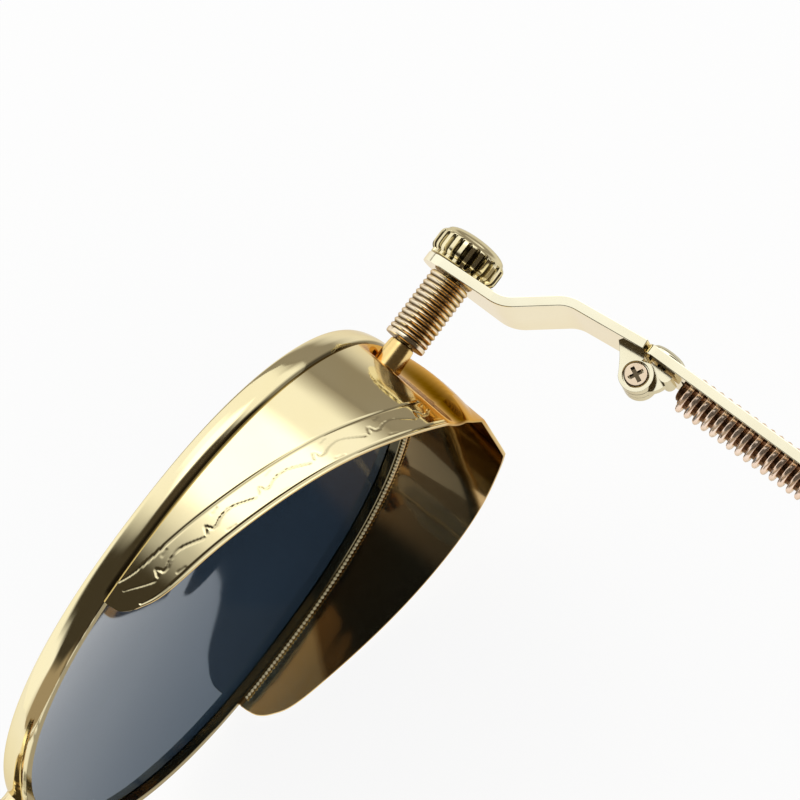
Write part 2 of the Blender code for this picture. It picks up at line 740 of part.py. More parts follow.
def make_front_leaf():
    """Front hinge leaf: two knuckles on a foot that is soldered inside the arm plate."""
    foot_rear = plate_inner_face(PLATE_END - LEAF_SETBACK)
    foot_front = plate_inner_face(PLATE_END - LEAF_SETBACK - LEAF_FOOT)
    leaf = knuckle_space(0, BARREL_HEIGHT)
    leaf = join(leaf, web("web", foot_rear, foot_front, 0, BARREL_HEIGHT))
    slot = knuckle_space(KNUCKLE_HEIGHT, KNUCKLE_HEIGHT + 2 * RUN_GAP + KNUCKLE_HEIGHT, RUN_GAP)
    leaf = cut(leaf, slot)
    bore = knuckle_space(-OVERRUN, BARREL_HEIGHT + OVERRUN,
                         HINGE_SHANK + RUN_GAP - KNUCKLE_RADIUS)
    leaf = cut(leaf, bore)
    sink = knuckle_space(BARREL_HEIGHT - HINGE_HEAD_HEIGHT, BARREL_HEIGHT + OVERRUN,
                         HINGE_HEAD + RUN_GAP - KNUCKLE_RADIUS)
    leaf = cut(leaf, sink)
    leaf.name = "hinge_leaf_front"
    return leaf


def bar_point(along, up=0, out=0):
    """Point given along the temple bar, up and outward."""
    return TEMPLE_FRAME @ Vector((along, up, out))


def make_rear_leaf():
    """Rear hinge leaf: one knuckle, its web and a pad riveted inside the temple bar."""
    low = KNUCKLE_HEIGHT + RUN_GAP
    high = low + KNUCKLE_HEIGHT
    face = -PLATE / 2 - SEAT_GAP
    foot_start = bar_point(LEAF_START, 0, face - LEAF_THICKNESS / 2).to_2d()
    foot_end = bar_point(LEAF_START + LEAF_LENGTH * WEB_FOOT_SHARE, 0, face - LEAF_THICKNESS / 2).to_2d()
    leaf = knuckle_space(low, high)
    leaf = join(leaf, web("web", foot_start, foot_end, low, high))
    pad_outline = rounded_rectangle((LEAF_START, -BARREL_HEIGHT / 2),
                                    (LEAF_START + LEAF_LENGTH, BARREL_HEIGHT / 2),
                                    LEAF_LENGTH / 3)
    pad = flat_piece("pad", [pad_outline], LEAF_THICKNESS)
    place = Matrix.Translation((0, 0, face - LEAF_THICKNESS / 2))
    leaf = join(leaf, moved(pad, TEMPLE_FRAME @ place))
    bore = knuckle_space(0, BARREL_HEIGHT, HINGE_SHANK + RUN_GAP - KNUCKLE_RADIUS)
    leaf = cut(leaf, bore)
    leaf = cut(leaf, rivet_bore())
    leaf.name = "hinge_leaf_rear"
    return leaf


def rivet_bore():
    """Hole for the rivet through the bar and the rear leaf."""
    bore = cylinder("rivet_bore", RIVET_SHANK + RUN_GAP, -OVERRUN, OVERRUN, SMALL_SIDES)
    return moved(bore, TEMPLE_FRAME @ Matrix.Translation((RIVET_PLACE, 0, 0)))


def make_rivet():
    """Domed rivet from the temple bar's outer side through the rear leaf."""
    face = PLATE / 2 + SEAT_GAP
    tail = -PLATE / 2 - SEAT_GAP - LEAF_THICKNESS
    profile = [(0, face + RIVET_DOME_HEIGHT)]
    for share in RIVET_RING_SHARES:
        height = RIVET_DOME_HEIGHT * sqrt(1 - (share * RIVET_FALL_SHARE) ** 2)
        profile.append((RIVET_DOME * share, face + height))
    profile += [(RIVET_DOME, face), (RIVET_SHANK, face), (RIVET_SHANK, tail), (0, tail)]
    rivet = turned("temple_rivet", profile, SMALL_SIDES)
    return moved(rivet, TEMPLE_FRAME @ Matrix.Translation((RIVET_PLACE, 0, 0)))


def make_hinge_screw():
    """Hinge screw whose head is sunk in the top knuckle."""
    foot = -BARREL_HEIGHT / 2
    seat = BARREL_HEIGHT / 2 - HINGE_HEAD_HEIGHT + SEAT_GAP
    profile = ((0, BARREL_HEIGHT / 2), (HINGE_HEAD, BARREL_HEIGHT / 2), (HINGE_HEAD, seat),
               (HINGE_SHANK, seat), (HINGE_SHANK, foot), (0, foot))
    return moved(turned("hinge_screw", profile, SMALL_SIDES), Matrix.Translation(HINGE_AXIS))


def temple_line(distance):
    """Place and downward turn of the temple's middle line at a distance from its front."""
    if distance <= TEMPLE_STRAIGHT:
        return distance, 0, 0
    arc_length = EAR_RADIUS * EAR_ANGLE
    turn = min((distance - TEMPLE_STRAIGHT) / EAR_RADIUS, EAR_ANGLE)
    along = TEMPLE_STRAIGHT + EAR_RADIUS * sin(turn)
    up = -EAR_RADIUS * (1 - cos(turn))
    rest = max(distance - TEMPLE_STRAIGHT - arc_length, 0)
    return along + rest * cos(turn), up - rest * sin(turn), turn


def temple_length():
    """Length of the temple's middle line, so that its tip stands on the ground."""
    fall = ARM_HEIGHT - TIP_CENTRE_RISE - EAR_RADIUS * (1 - cos(EAR_ANGLE))
    return TEMPLE_STRAIGHT + EAR_RADIUS * EAR_ANGLE + fall / sin(EAR_ANGLE)


def bar_outline(swell=0):
    """Side view of the temple bar, from its tall front to the tail inside the tip."""
    end = TIP_START + TAIL_IN_TIP + swell
    taper = WINDOW_END + WINDOW_END_WALL
    steps = ceil(TAIL_IN_TIP / TIP_STEP) + 2
    start = TEMPLE_STRAIGHT * BAR_BEND_SHARE
    stations = [between(start, end, index / steps) for index in range(steps + 1)]
    upper, lower = [], []
    for distance in stations:
        along, up, turn = temple_line(distance)
        half = TAIL_HALF_HEIGHT + swell
        upper.append((along + half * sin(turn), up + half * cos(turn)))
        lower.append((along - half * sin(turn), up - half * cos(turn)))
    tall = BAR_HALF_HEIGHT
    corner = BAR_CORNER
    front = arc((corner, tall - corner), corner, pi / 2, pi, 3)
    front += arc((corner, corner - tall), corner, pi, 3 * pi / 2, 3)
    narrow = TAIL_HALF_HEIGHT + swell
    return (front + [(taper, -tall), (taper + BAR_TAPER, -narrow)] + lower + upper[::-1]
            + [(taper + BAR_TAPER, narrow), (taper, tall)])


def make_temple_bar():
    """Slotted temple bar with its window for the spring."""
    window = rounded_rectangle((WINDOW_START, -WINDOW_HALF_HEIGHT), (WINDOW_END, WINDOW_HALF_HEIGHT),
                               SHEET)
    hole = circle((RIVET_PLACE, 0), RIVET_SHANK + RUN_GAP, SMALL_SIDES)
    bar = flat_piece("temple_bar", [bar_outline(), window, hole], PLATE)
    return moved(bar, TEMPLE_FRAME)


def make_spring_rod():
    """Rod that carries the coil from one end of the window to the other."""
    rod = cylinder("spring_rod", ROD_RADIUS, WINDOW_START + SEAT_GAP, WINDOW_END - SEAT_GAP,
                   SMALL_SIDES)
    place = Matrix.Translation((0, 0, -COIL_INSET)) @ OUTWARD
    return moved(rod, TEMPLE_FRAME @ place)


def coil_points():
    """Middle line of the spring: straight ends along the rod, and its turns between them."""
    start = WINDOW_START + SEAT_GAP
    first = start + COIL_WIRE
    points = [Vector((start, COIL_RADIUS, -COIL_INSET))]
    for index in range(COIL_TURNS * COIL_POINTS + 1):
        turn = 2 * pi * index / COIL_POINTS
        along = first + COIL_WIRE / 2 + COIL_LENGTH * index / (COIL_TURNS * COIL_POINTS)
        points.append(Vector((along, COIL_RADIUS * cos(turn), COIL_RADIUS * sin(turn) - COIL_INSET)))
    last = points[-1] + Vector((COIL_WIRE / 2, 0, 0))
    points[1] = Vector((first, COIL_RADIUS, -COIL_INSET))
    points[-1] = last
    points.append(Vector((WINDOW_END - SEAT_GAP, COIL_RADIUS, -COIL_INSET)))
    return points


def least_gap(points, diameter, skip):
    """Least clear distance between stretches of a wire that aren't neighbours."""
    least = None
    for index in range(len(points)):
        for other in range(index + skip, min(index + 3 * skip, len(points))):
            gap = (points[index] - points[other]).length - diameter
            least = gap if least is None else min(least, gap)
    return least


def make_coil():
    """Coil spring as one wire."""
    points = coil_points()
    gap = least_gap(points[2:-2], COIL_WIRE, COIL_POINTS // 2 + 1)
    print("coil spring: least gap to itself", round(gap, 6), "m")
    return moved(tube("coil_spring", points, COIL_WIRE / 2, detail=1), TEMPLE_FRAME)


def make_temple_tip():
    """Moulded sleeve over the bar's tail, bent behind the ear, flat where it stands."""
    end = temple_length()
    count = ceil((end - TIP_START) / TIP_STEP)
    rings = []
    for index in range(count + 1):
        share = index / count
        along, up, turn = temple_line(between(TIP_START, end, share))
        swell = sin(min(share / TIP_SWELL_SHARE, 1) * pi / 2)
        tall = between(TIP_HALF_HEIGHT, TIP_PADDLE, swell)
        wide = TIP_HALF_WIDTH
        if index in (0, count):
            tall -= TIP_LIP
            wide -= TIP_LIP
        ring = []
        for side in range(TIP_SIDES):
            angle = 2 * pi * side / TIP_SIDES
            rise = tall * sin(angle)
            ring.append((along + rise * sin(turn), up + rise * cos(turn), wide * cos(angle)))
        rings.append(ring)
    along, up, turn = temple_line(end)
    nose = []
    for side in range(TIP_SIDES):
        angle = 2 * pi * side / TIP_SIDES
        rise = TIP_PADDLE / 2 * sin(angle)
        reach = TIP_PADDLE / 2
        nose.append((along + reach * cos(turn) + rise * sin(turn),
                     up - reach * sin(turn) + rise * cos(turn), TIP_HALF_WIDTH / 2 * cos(angle)))
    rings.append(nose)
    tip = moved(loft("temple_tip", rings), TEMPLE_FRAME)
    pocket = moved(flat_piece("pocket", [bar_outline(SEAT_GAP)], PLATE + 2 * SEAT_GAP), TEMPLE_FRAME)
    tip = cut(tip, pocket)
    reach = LENS_SPACING + BAR_OUT
    ground = box("ground", (0, 0, -LENS_CENTRE_RISE), (reach, BAR_START + 2 * end, 0))
    return cut(tip, ground)


def make_bridge():
    """Arched bridge bar, trimmed where its ends meet the two rims."""
    across, up = outline_point(pi - atan2(BRIDGE_RISE, LENS_HALF_WIDTH), 0)
    end = LENS_FRAME @ Vector((across, -RIM_DEPTH / 2, up))
    steps = 12
    points = []
    for index in range(steps + 1):
        share = 2 * index / steps - 1
        crown = cos(share * pi / 2)
        points.append((end.x * share, end.y - BRIDGE_FORWARD * crown, end.z + BRIDGE_ARCH * crown))
    bridge = tube("bridge", points, BRIDGE_RADIUS)
    bridge = cut(bridge, rim_space("left_rim"))
    return cut(bridge, mirrored(rim_space("right_rim")))


def pad_frame():
    """Frame of the nose pad at its pivot: X away from the nose, Z up."""
    return Matrix.Translation(PAD_PIVOT) @ Matrix.Rotation(PAD_SPLAY, 4, "Z")


def make_pad_arm():
    """Wire from the rim's back to the pad, with the two ears that hold the pad's tab."""
    across, up = outline_point(PAD_ARM_ANGLE, RIM_WALL / 2)
    root = LENS_FRAME @ Vector((across, SEAT_GAP, up))
    behind = LENS_FRAME @ Vector((across, SEAT_GAP + 2 * PAD_WIRE, up))
    frame = pad_frame()
    back = PAD_BOX_REACH + PAD_WIRE
    seat = frame @ Vector((back - PAD_WIRE, 0, 0))
    lead = frame @ Vector((back + PAD_ARM_SAG, 0, 0))
    guide = behind + Vector((0, PAD_ARM_SAG, -PAD_ARM_SAG / 2))
    line = [root, behind]
    steps = 9
    for index in range(1, steps):
        share = index / steps
        first = behind.lerp(guide, share)
        second = guide.lerp(lead, share)
        third = lead.lerp(seat, share)
        line.append(first.lerp(second, share).lerp(second.lerp(third, share), share))
    line.append(seat)
    arm = tube("pad_arm", line, PAD_WIRE, detail=1)
    half = PAD_TAB / 2 + RUN_GAP + PAD_EAR
    bracket = cylinder("bracket", PAD_EAR_RADIUS, -half, half, SMALL_SIDES)
    back_wall = box("back_wall", (0, -PAD_EAR_RADIUS, -half), (PAD_BOX_REACH, PAD_EAR_RADIUS, half))
    bracket = join(bracket, back_wall)
    room = box("room", (-2 * PAD_EAR_RADIUS, -2 * PAD_EAR_RADIUS, -PAD_TAB / 2 - RUN_GAP),
               (PAD_EAR_RADIUS + 2 * RUN_GAP, 2 * PAD_EAR_RADIUS, PAD_TAB / 2 + RUN_GAP))
    bracket = cut(bracket, room)
    bore = cylinder("bore", PAD_PIN + RUN_GAP, -half - OVERRUN, half + OVERRUN, SMALL_SIDES)
    bracket = cut(bracket, bore)
    return join(arm, moved(bracket, frame))


def make_nose_pad():
    """Soft oval pad with the tab that turns between the arm's ears."""
    rings = []
    for depth_share, size_share in PAD_RING_SHARES:
        depth = -PAD_STANDOFF - PAD_THICKNESS * depth_share
        ring = []
        for index in range(PAD_SIDES):
            angle = 2 * pi * index / PAD_SIDES
            narrow = 1 - PAD_NARROW_SHARE * sin(angle)
            ring.append((depth, PAD_HALF_DEPTH * size_share * narrow * cos(angle),
                         PAD_HALF_HEIGHT * size_share * sin(angle)))
        rings.append(ring)
    pad = loft("nose_pad", rings)
    tab_half = PAD_EAR_RADIUS - RUN_GAP
    tab = box("tab", (-PAD_STANDOFF - PAD_THICKNESS / 3, -tab_half, -PAD_TAB / 2),
              (0, tab_half, PAD_TAB / 2))
    tab = join(tab, cylinder("tab_end", tab_half, -PAD_TAB / 2, PAD_TAB / 2, SMALL_SIDES))
    pad = join(pad, tab)
    pad = cut(pad, cylinder("bore", PAD_PIN + RUN_GAP, -PAD_TAB, PAD_TAB, SMALL_SIDES))
    return moved(pad, pad_frame())


def make_pad_screw():
    """Small screw that the nose pad rocks on."""
    half = PAD_TAB / 2 + RUN_GAP + PAD_EAR
    top = half + SEAT_GAP
    profile = ((0, top + PAD_PIN_HEAD_HEIGHT), (PAD_PIN_HEAD, top + PAD_PIN_HEAD_HEIGHT),
               (PAD_PIN_HEAD, top), (PAD_PIN, top), (PAD_PIN, -half), (0, -half))
    return moved(turned("pad_screw", profile, SMALL_SIDES), pad_frame())


def mirrored(item):
    """The mesh object mirrored to the other side, with its faces still pointing out."""
    item.data.transform(Matrix.Diagonal((-1, 1, 1, 1)))
    item.data.flip_normals()
    return item


def place(item, name, material, pivot=None):
    """Put a finished piece in the model, with its origin on its joint's axis if it moves."""
    item.name = name
    item.data.name = name
    WORKSHOP.objects.unlink(item)
    MODEL.objects.link(item)
    item.data.materials.clear()
    item.data.materials.append(material)
    item.data.shade_smooth()
    item.data.set_sharp_from_angle(angle=SMOOTH_ANGLE)
    if pivot is not None:
        item.data.transform(Matrix.Translation(-Vector(pivot)))
        item.location = pivot
    return item


def place_pair(item, material, pivot=None):
    """Place a piece on the wearer's left and its mirror image on the right."""
    base = item.name
    twin = add_object(base, item.data.copy())
    place(item, base + "_left", material, pivot)
    other = None if pivot is None else Vector((-pivot.x, pivot.y, pivot.z))
    place(mirrored(twin), base + "_right", material, other)


def build():
    """Make every piece of the glasses."""
    gold = (0.86, 0.70, 0.42)
    rose = (0.80, 0.60, 0.42)
    place_pair(make_rim(), metal("rim gold", gold, 0.12))
    place_pair(make_rim_screw(), metal("rim screw gold", gold, 0.25))
    place_pair(make_lens(), finish("tinted lens", (0.05, 0.07, 0.10), 0.05, alpha=0.8))
    place_pair(make_shield(), metal("shield gold", gold, 0.15))
    place_pair(make_lug(), metal("lug gold", (0.90, 0.62, 0.22), 0.15))
    place_pair(make_post(), metal("post rose gold", rose, 0.20))
    place_pair(make_thumbscrew(), metal("knob gold", gold, 0.20), POST_AXIS)
    place_pair(make_arm_plate(), metal("plate gold", gold, 0.15))
    place_pair(make_front_leaf(), metal("front leaf gold", gold, 0.18))
    place_pair(make_hinge_screw(), metal("hinge screw gold", rose, 0.22))
    place_pair(make_rear_leaf(), metal("rear leaf gold", gold, 0.18), HINGE_AXIS)
    place_pair(make_rivet(), metal("rivet gold", gold, 0.12), HINGE_AXIS)
    place_pair(make_temple_bar(), metal("bar gold", gold, 0.15), HINGE_AXIS)
    place_pair(make_spring_rod(), metal("rod gold", rose, 0.25), HINGE_AXIS)
    place_pair(make_coil(), metal("spring rose gold", rose, 0.18), HINGE_AXIS)
    place_pair(make_temple_tip(), finish("tip plastic", (0.03, 0.02, 0.015), 0.25), HINGE_AXIS)
    place_pair(make_pad_arm(), metal("pad arm gold", gold, 0.18))
    place_pair(make_pad_screw(), metal("pad screw gold", gold, 0.25))
    place_pair(make_nose_pad(), finish("pad silicone", (0.85, 0.84, 0.80), 0.35, alpha=0.6),
               PAD_PIVOT)
    place(make_bridge(), "bridge", metal("bridge gold", gold, 0.12))


def centre():
    """Move the finished model so that its middle, front to back, is over the origin."""
    bpy.context.view_layer.update()
    backs = [(item.matrix_world @ corner.co).y
             for item in MODEL.objects for corner in item.data.vertices]
    middle = (min(backs) + max(backs)) / 2
    for item in MODEL.objects:
        if item.location.length > 0:
            item.location.y -= middle
        else:
            item.data.transform(Matrix.Translation((0, -middle, 0)))


clear_scene()
MODEL = add_collection("steampunk_sunglasses")
WORKSHOP = add_collection("workshop")
build()
centre()
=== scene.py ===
"""Looks for round steampunk sunglasses with side shields, thumbscrew posts and spring temples.

Each section makes one piece or one group of like pieces, in the order in which they are put
together. One side is modelled at +X, the wearer's left, and copied in mirror image to the other.
"""

from math import atan2, cos, hypot, pi, radians, sin, sqrt

import bpy
from mathutils import Matrix, Vector


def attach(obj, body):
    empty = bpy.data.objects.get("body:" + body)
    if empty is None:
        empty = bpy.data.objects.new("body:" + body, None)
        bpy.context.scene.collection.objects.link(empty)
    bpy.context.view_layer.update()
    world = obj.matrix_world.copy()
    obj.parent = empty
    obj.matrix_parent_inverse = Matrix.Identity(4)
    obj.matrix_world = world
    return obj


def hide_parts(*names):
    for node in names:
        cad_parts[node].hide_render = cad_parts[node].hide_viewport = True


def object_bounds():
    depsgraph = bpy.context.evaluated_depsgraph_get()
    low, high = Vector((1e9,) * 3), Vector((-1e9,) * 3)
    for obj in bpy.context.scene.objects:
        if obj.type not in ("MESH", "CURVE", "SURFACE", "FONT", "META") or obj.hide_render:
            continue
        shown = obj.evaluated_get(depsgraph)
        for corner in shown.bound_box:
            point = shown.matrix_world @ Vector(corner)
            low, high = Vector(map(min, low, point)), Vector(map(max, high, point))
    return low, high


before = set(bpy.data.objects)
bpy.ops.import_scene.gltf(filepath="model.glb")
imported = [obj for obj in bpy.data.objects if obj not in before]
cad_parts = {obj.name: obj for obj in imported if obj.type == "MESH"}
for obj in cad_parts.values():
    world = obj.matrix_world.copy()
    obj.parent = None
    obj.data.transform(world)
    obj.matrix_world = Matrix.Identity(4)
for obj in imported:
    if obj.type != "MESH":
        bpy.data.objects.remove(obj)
cad_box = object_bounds()
bpy.ops.object.select_all(action="DESELECT")


# Rims
# Each lens sits in a band of pale gold plated metal, drawn to a D-shaped bar and closed round
# the lens by a small screwed block. The back face carries one row of milled beads.

lens_spacing = 0.072
lens_half = 0.024
outline_power = 2.3
wrap_angle = radians(3.2)
tilt_angle = radians(1.3)
lens_rise = 0.0252002
model_back = -0.0684499
rim_depth = 0.0025
rim_wall = 0.00115
weld = 0.0000005
overrun = 0.004
pale_gold = (0.93, 0.83, 0.54)
rim_deep_gold = (0.90, 0.78, 0.46)


def new_object(name):
    """The object that an operator has just added, under its name."""
    item = bpy.context.object
    item.name = name
    item.data.name = name
    return item


def face_out(item, merged=False):
    """Turn every face outward, after merging double corners where there are some."""
    bpy.context.view_layer.objects.active = item
    bpy.ops.object.mode_set(mode="EDIT")
    bpy.ops.mesh.select_all(action="SELECT")
    if merged:
        bpy.ops.mesh.remove_doubles(threshold=weld)
    bpy.ops.mesh.normals_make_consistent(inside=False)
    bpy.ops.object.mode_set(mode="OBJECT")
    return item


def turn_up(name, profile, sides, closed=False):
    """A turned piece round Z: one ring extruded through the (radius, height) points."""
    radius, height = profile[0]
    bpy.ops.mesh.primitive_circle_add(vertices=sides, radius=radius, location=(0, 0, 0),
                                      fill_type="NOTHING" if closed else "NGON")
    item = new_object(name)
    item.location = (0, 0, height)
    bpy.ops.object.transform_apply(location=True)
    bpy.ops.object.mode_set(mode="EDIT")
    bpy.ops.mesh.select_all(action="SELECT")
    stops = list(profile[1:]) + ([profile[0]] if closed else [])
    for next_radius, next_height in stops:
        bpy.ops.mesh.extrude_region_move(
            TRANSFORM_OT_translate={"value": (0, 0, next_height - height)})
        scale = next_radius / radius
        bpy.ops.transform.resize(value=(scale, scale, 1))
        radius, height = next_radius, next_height
    return face_out(item, True)


def beyond_circle(angle):
    """How far the lens's outline, between a circle and a square, lies out at an angle."""
    across, up = abs(cos(angle)), abs(sin(angle))
    return (across ** outline_power + up ** outline_power) ** (-1 / outline_power)


def outline_place(angle, offset):
    """Place on the lens outline moved out by an offset, in the lens's own plane."""
    reach = beyond_circle(angle) * (lens_half + offset)
    return reach * cos(angle), reach * sin(angle)


def polar(corner):
    """A corner's distance and angle round the piece's axis."""
    return hypot(corner.co.x, corner.co.y), atan2(corner.co.y, corner.co.x)


def widen(corner, scale):
    """Move a corner out from the piece's axis."""
    corner.co.x *= scale
    corner.co.y *= scale


def square_off(item):
    """Draw a round piece out to the lens's outline."""
    for corner in item.data.vertices:
        widen(corner, beyond_circle(polar(corner)[1]))


def marks_on(item, name):
    """A number at each corner of the piece, for its material to read."""
    return item.data.attributes.new(name, "FLOAT", "POINT")


def apply_step(item, kind, **settings):
    """Add a modifier with its settings and apply it."""
    bpy.context.view_layer.objects.active = item
    step = item.modifiers.new(kind.lower(), kind)
    for key, value in settings.items():
        setattr(step, key, value)
    bpy.ops.object.modifier_apply(modifier=step.name)


def seat(item, place):
    """Put the piece where it belongs, with its place in its mesh."""
    item.data.transform(place)
    return item


def moved(*place):
    """A shift to a place."""
    return Matrix.Translation(place)


def turned(angle, axis):
    """A turn about an axis."""
    return Matrix.Rotation(angle, 4, axis)


def dress(item, material, body, node):
    """Give a finished piece its material, its body and the node that it stands for."""
    item.data.materials.clear()
    item.data.materials.append(material)
    bpy.ops.object.select_all(action="DESELECT")
    item.select_set(True)
    bpy.context.view_layer.objects.active = item
    bpy.ops.object.shade_smooth_by_angle(angle=radians(32))
    # Faces this small weigh nothing, so the mesh is a thousand times larger for this step
    item.data.transform(Matrix.Scale(1000, 4))
    apply_step(item, "WEIGHTED_NORMAL", keep_sharp=True, weight=80, thresh=0.0001)
    item.data.transform(Matrix.Scale(0.001, 4))
    item.select_set(False)
    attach(item, body)
    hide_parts(node)


def dress_pair(item, material, body, node):
    """Dress the piece for the wearer's left and its mirror image for the right."""
    name = item.name
    twin = item.copy()
    twin.data = item.data.copy()
    twin.data.transform(Matrix.Diagonal((-1, 1, 1, 1)))
    twin.data.flip_normals()
    bpy.context.scene.collection.objects.link(twin)
    for piece, side in ((item, "_left"), (twin, "_right")):
        piece.name = name + side
        piece.data.name = name + side
        dress(piece, material, body if body == "front" else body + side, node + side)


def feed(step, inputs):
    """Give a node's inputs their plain values or their links."""
    for key, value in inputs.items():
        if isinstance(value, bpy.types.NodeSocket):
            step.id_data.links.new(value, step.inputs[key])
        else:
            step.inputs[key].default_value = value


def shade(tree, kind, output, inputs, **options):
    """Add a shader node with its options and inputs, and give one of its outputs."""
    step = tree.nodes.new("ShaderNode" + kind)
    for key, value in options.items():
        setattr(step, key, value)
    feed(step, inputs)
    return step.outputs[output]


def times(tree, first, second):
    """Two values multiplied."""
    return shade(tree, "Math", "Value", {0: first, 1: second}, operation="MULTIPLY")


def mixed(tree, factor, under, over):
    """One colour mixed over another by a factor."""
    return shade(tree, "Mix", "Result", {"Factor": factor, "A": under, "B": over},
                 data_type="RGBA")


def new_material(name):
    """A material, its node tree and its Principled shader."""
    material = bpy.data.materials.new(name)
    material.use_nodes = True
    return material, material.node_tree, material.node_tree.nodes["Principled BSDF"]


def build_polish_group():
    """Polished plate that has been handled: faint cloudiness, fine wipe marks, soft ripple."""
    group = bpy.data.node_groups.new("polished plate", "ShaderNodeTree")
    for name, kind, value in (("Colour", "Color", (1, 1, 1, 1)),
                              ("Deep colour", "Color", (1, 1, 1, 1)), ("Gloss", "Float", 0.08),
                              ("Wear", "Float", 0.06), ("Groove", "Float", 0.0),
                              ("Vector", "Vector", (0, 0, 0))):
        made = group.interface.new_socket(name, in_out="INPUT", socket_type="NodeSocket" + kind)
        made.default_value = value
    for name, kind in (("Colour", "Color"), ("Roughness", "Float"), ("Height", "Float")):
        group.interface.new_socket(name, in_out="OUTPUT", socket_type="NodeSocket" + kind)
    entry = group.nodes.new("NodeGroupInput").outputs
    cloud, marks, ripple = [
        shade(group, "TexNoise", "Fac", {"Vector": entry["Vector"], "Scale": scale,
                                         "Detail": detail})
        for scale, detail in ((95, 3), (1400, 2), (260, 1))]
    spread = shade(group, "MapRange", "Result",
                   {"Value": cloud, "From Min": 0.40, "From Max": 0.75})
    tint = mixed(group, spread, entry["Colour"], entry["Deep colour"])
    smear = shade(group, "Math", "Value", {0: times(group, cloud, marks), 1: entry["Wear"],
                                           2: entry["Gloss"]}, operation="MULTIPLY_ADD")
    oxide = mixed(group, entry["Groove"], tint, (0.075, 0.055, 0.026, 1))
    feed(group.nodes.new("NodeGroupOutput"),
         {"Colour": oxide, "Roughness": smear, "Height": ripple})
    return group


polish_group = build_polish_group()


def mask(tree, name):
    """What a piece's own attribute says at each place."""
    return shade(tree, "Attribute", "Fac", {}, attribute_name=name)


def plated(name, colour, deep, gloss=0.06, oxide=0.0, painted_warm_colour=None, edge=(0.80, 0.72, 0.58),
           metal=1.0):
    """A polished, plated metal made with the shared polish, with oxide in its grooves and, where
    asked, a painted warm glow and painted shade.
    """
    material, tree, shader = new_material(name)
    paint = shade(tree, "Group", "Colour", {
        "Vector": shade(tree, "TexCoord", "Object", {}), "Colour": (*colour, 1),
        "Deep colour": (*deep, 1), "Gloss": gloss, "Wear": 0.10}, node_tree=polish_group)
    polish = paint.node
    if oxide > 0:
        feed(polish, {"Groove": times(tree, mask(tree, "groove"), oxide)})
    # Painted light: a warm glow where the pocket mask lies, then painted shade darkening it
    if painted_warm_colour:
        paint = mixed(tree, mask(tree, "pocket"), paint, (*painted_warm_colour, 1))
        paint = mixed(tree, mask(tree, "painted_shade"), paint, (0.12, 0.045, 0.008, 1))
    bump = shade(tree, "Bump", "Normal", {"Height": polish.outputs["Height"], "Strength": 0.02,
                                          "Distance": 0.001})
    feed(shader, {"Base Color": paint, "Metallic": metal, "Specular Tint": (*edge, 1),
                  "Roughness": polish.outputs["Roughness"], "Normal": bump})
    return material


def brick(name, low, high):
    """A box between two corners."""
    middle = [(start + end) / 2 for start, end in zip(low, high)]
    bpy.ops.mesh.primitive_cube_add(size=1, location=middle,
                                    scale=[end - start for start, end in zip(low, high)])
    bpy.ops.object.transform_apply(location=True, scale=True)
    return new_object(name)


def cut_away(item, tool):
    """Take the tool's space out of the piece."""
    apply_step(item, "BOOLEAN", operation="DIFFERENCE", object=tool, solver="EXACT")
    bpy.data.objects.remove(tool)
    return item


def drill(item, radius, place=Matrix(), sides=24):
    """Drill a round hole through the piece."""
    tool = turn_up("drill", [(radius, -overrun), (radius, overrun)], sides)
    return cut_away(item, seat(tool, place))


def join_up(first, other):
    """Fuse two closed shapes into one."""
    apply_step(first, "BOOLEAN", operation="UNION", object=other, solver="EXACT")
    bpy.data.objects.remove(other)


def soften(item, width, steps=2, limit=40):
    """Round off the piece's sharp edges."""
    apply_step(item, "BEVEL", width=width, segments=steps, limit_method="ANGLE",
               angle_limit=radians(limit), use_clamp_overlap=True)


lens_place = (moved(lens_spacing / 2, model_back, lens_rise) @ turned(wrap_angle, "Z")
              @ turned(tilt_angle, "X") @ turned(pi / 2, "X"))
rim_profile = [(0.00000, 0.00005), (0.00006, 0.00000), (0.00066, 0.00000), (0.00080, 0.00006),
               (0.00091, 0.00018), (0.00100, 0.00034), (0.00107, 0.00052), (0.00112, 0.00072),
               (0.00115, 0.00092), (0.00115, 0.00110), (0.00113, 0.00140), (0.00108, 0.00172),
               (0.00100, 0.00202), (0.00090, 0.00227), (0.00078, 0.00243), (0.00066, 0.00250),
               (0.00012, 0.00250), (0.00003, 0.00247), (0.00000, 0.00238), (0.00000, 0.00205),
               (0.00045, 0.00145), (0.00000, 0.00085)]
rim = turn_up("rim_band", [(lens_half + out, front) for out, front in rim_profile], 240, True)
square_off(rim)

block_angle = radians(-50)
block_length = 0.0032
block_rise = 0.0019
block_depth = 0.0020
block_rounding = 0.00035
slit = 0.00009
screw_hole = 0.0005
block_place = moved(*outline_place(block_angle, rim_wall), rim_depth / 2) @ turned(block_angle, "Z")
screw_place = block_place @ moved(block_rise / 2, 0, 0) @ turned(-pi / 2, "X")
block = brick("block", (-rim_wall / 2, -block_length / 2, -block_depth / 2),
              (block_rise, block_length / 2, block_depth / 2))
soften(block, block_rounding, 4)
join_up(rim, seat(block, block_place))
saw = brick("saw", (-overrun, -slit / 2, -overrun), (overrun, slit / 2, overrun))
cut_away(rim, seat(saw, block_place))
drill(rim, screw_hole, screw_place, 32)

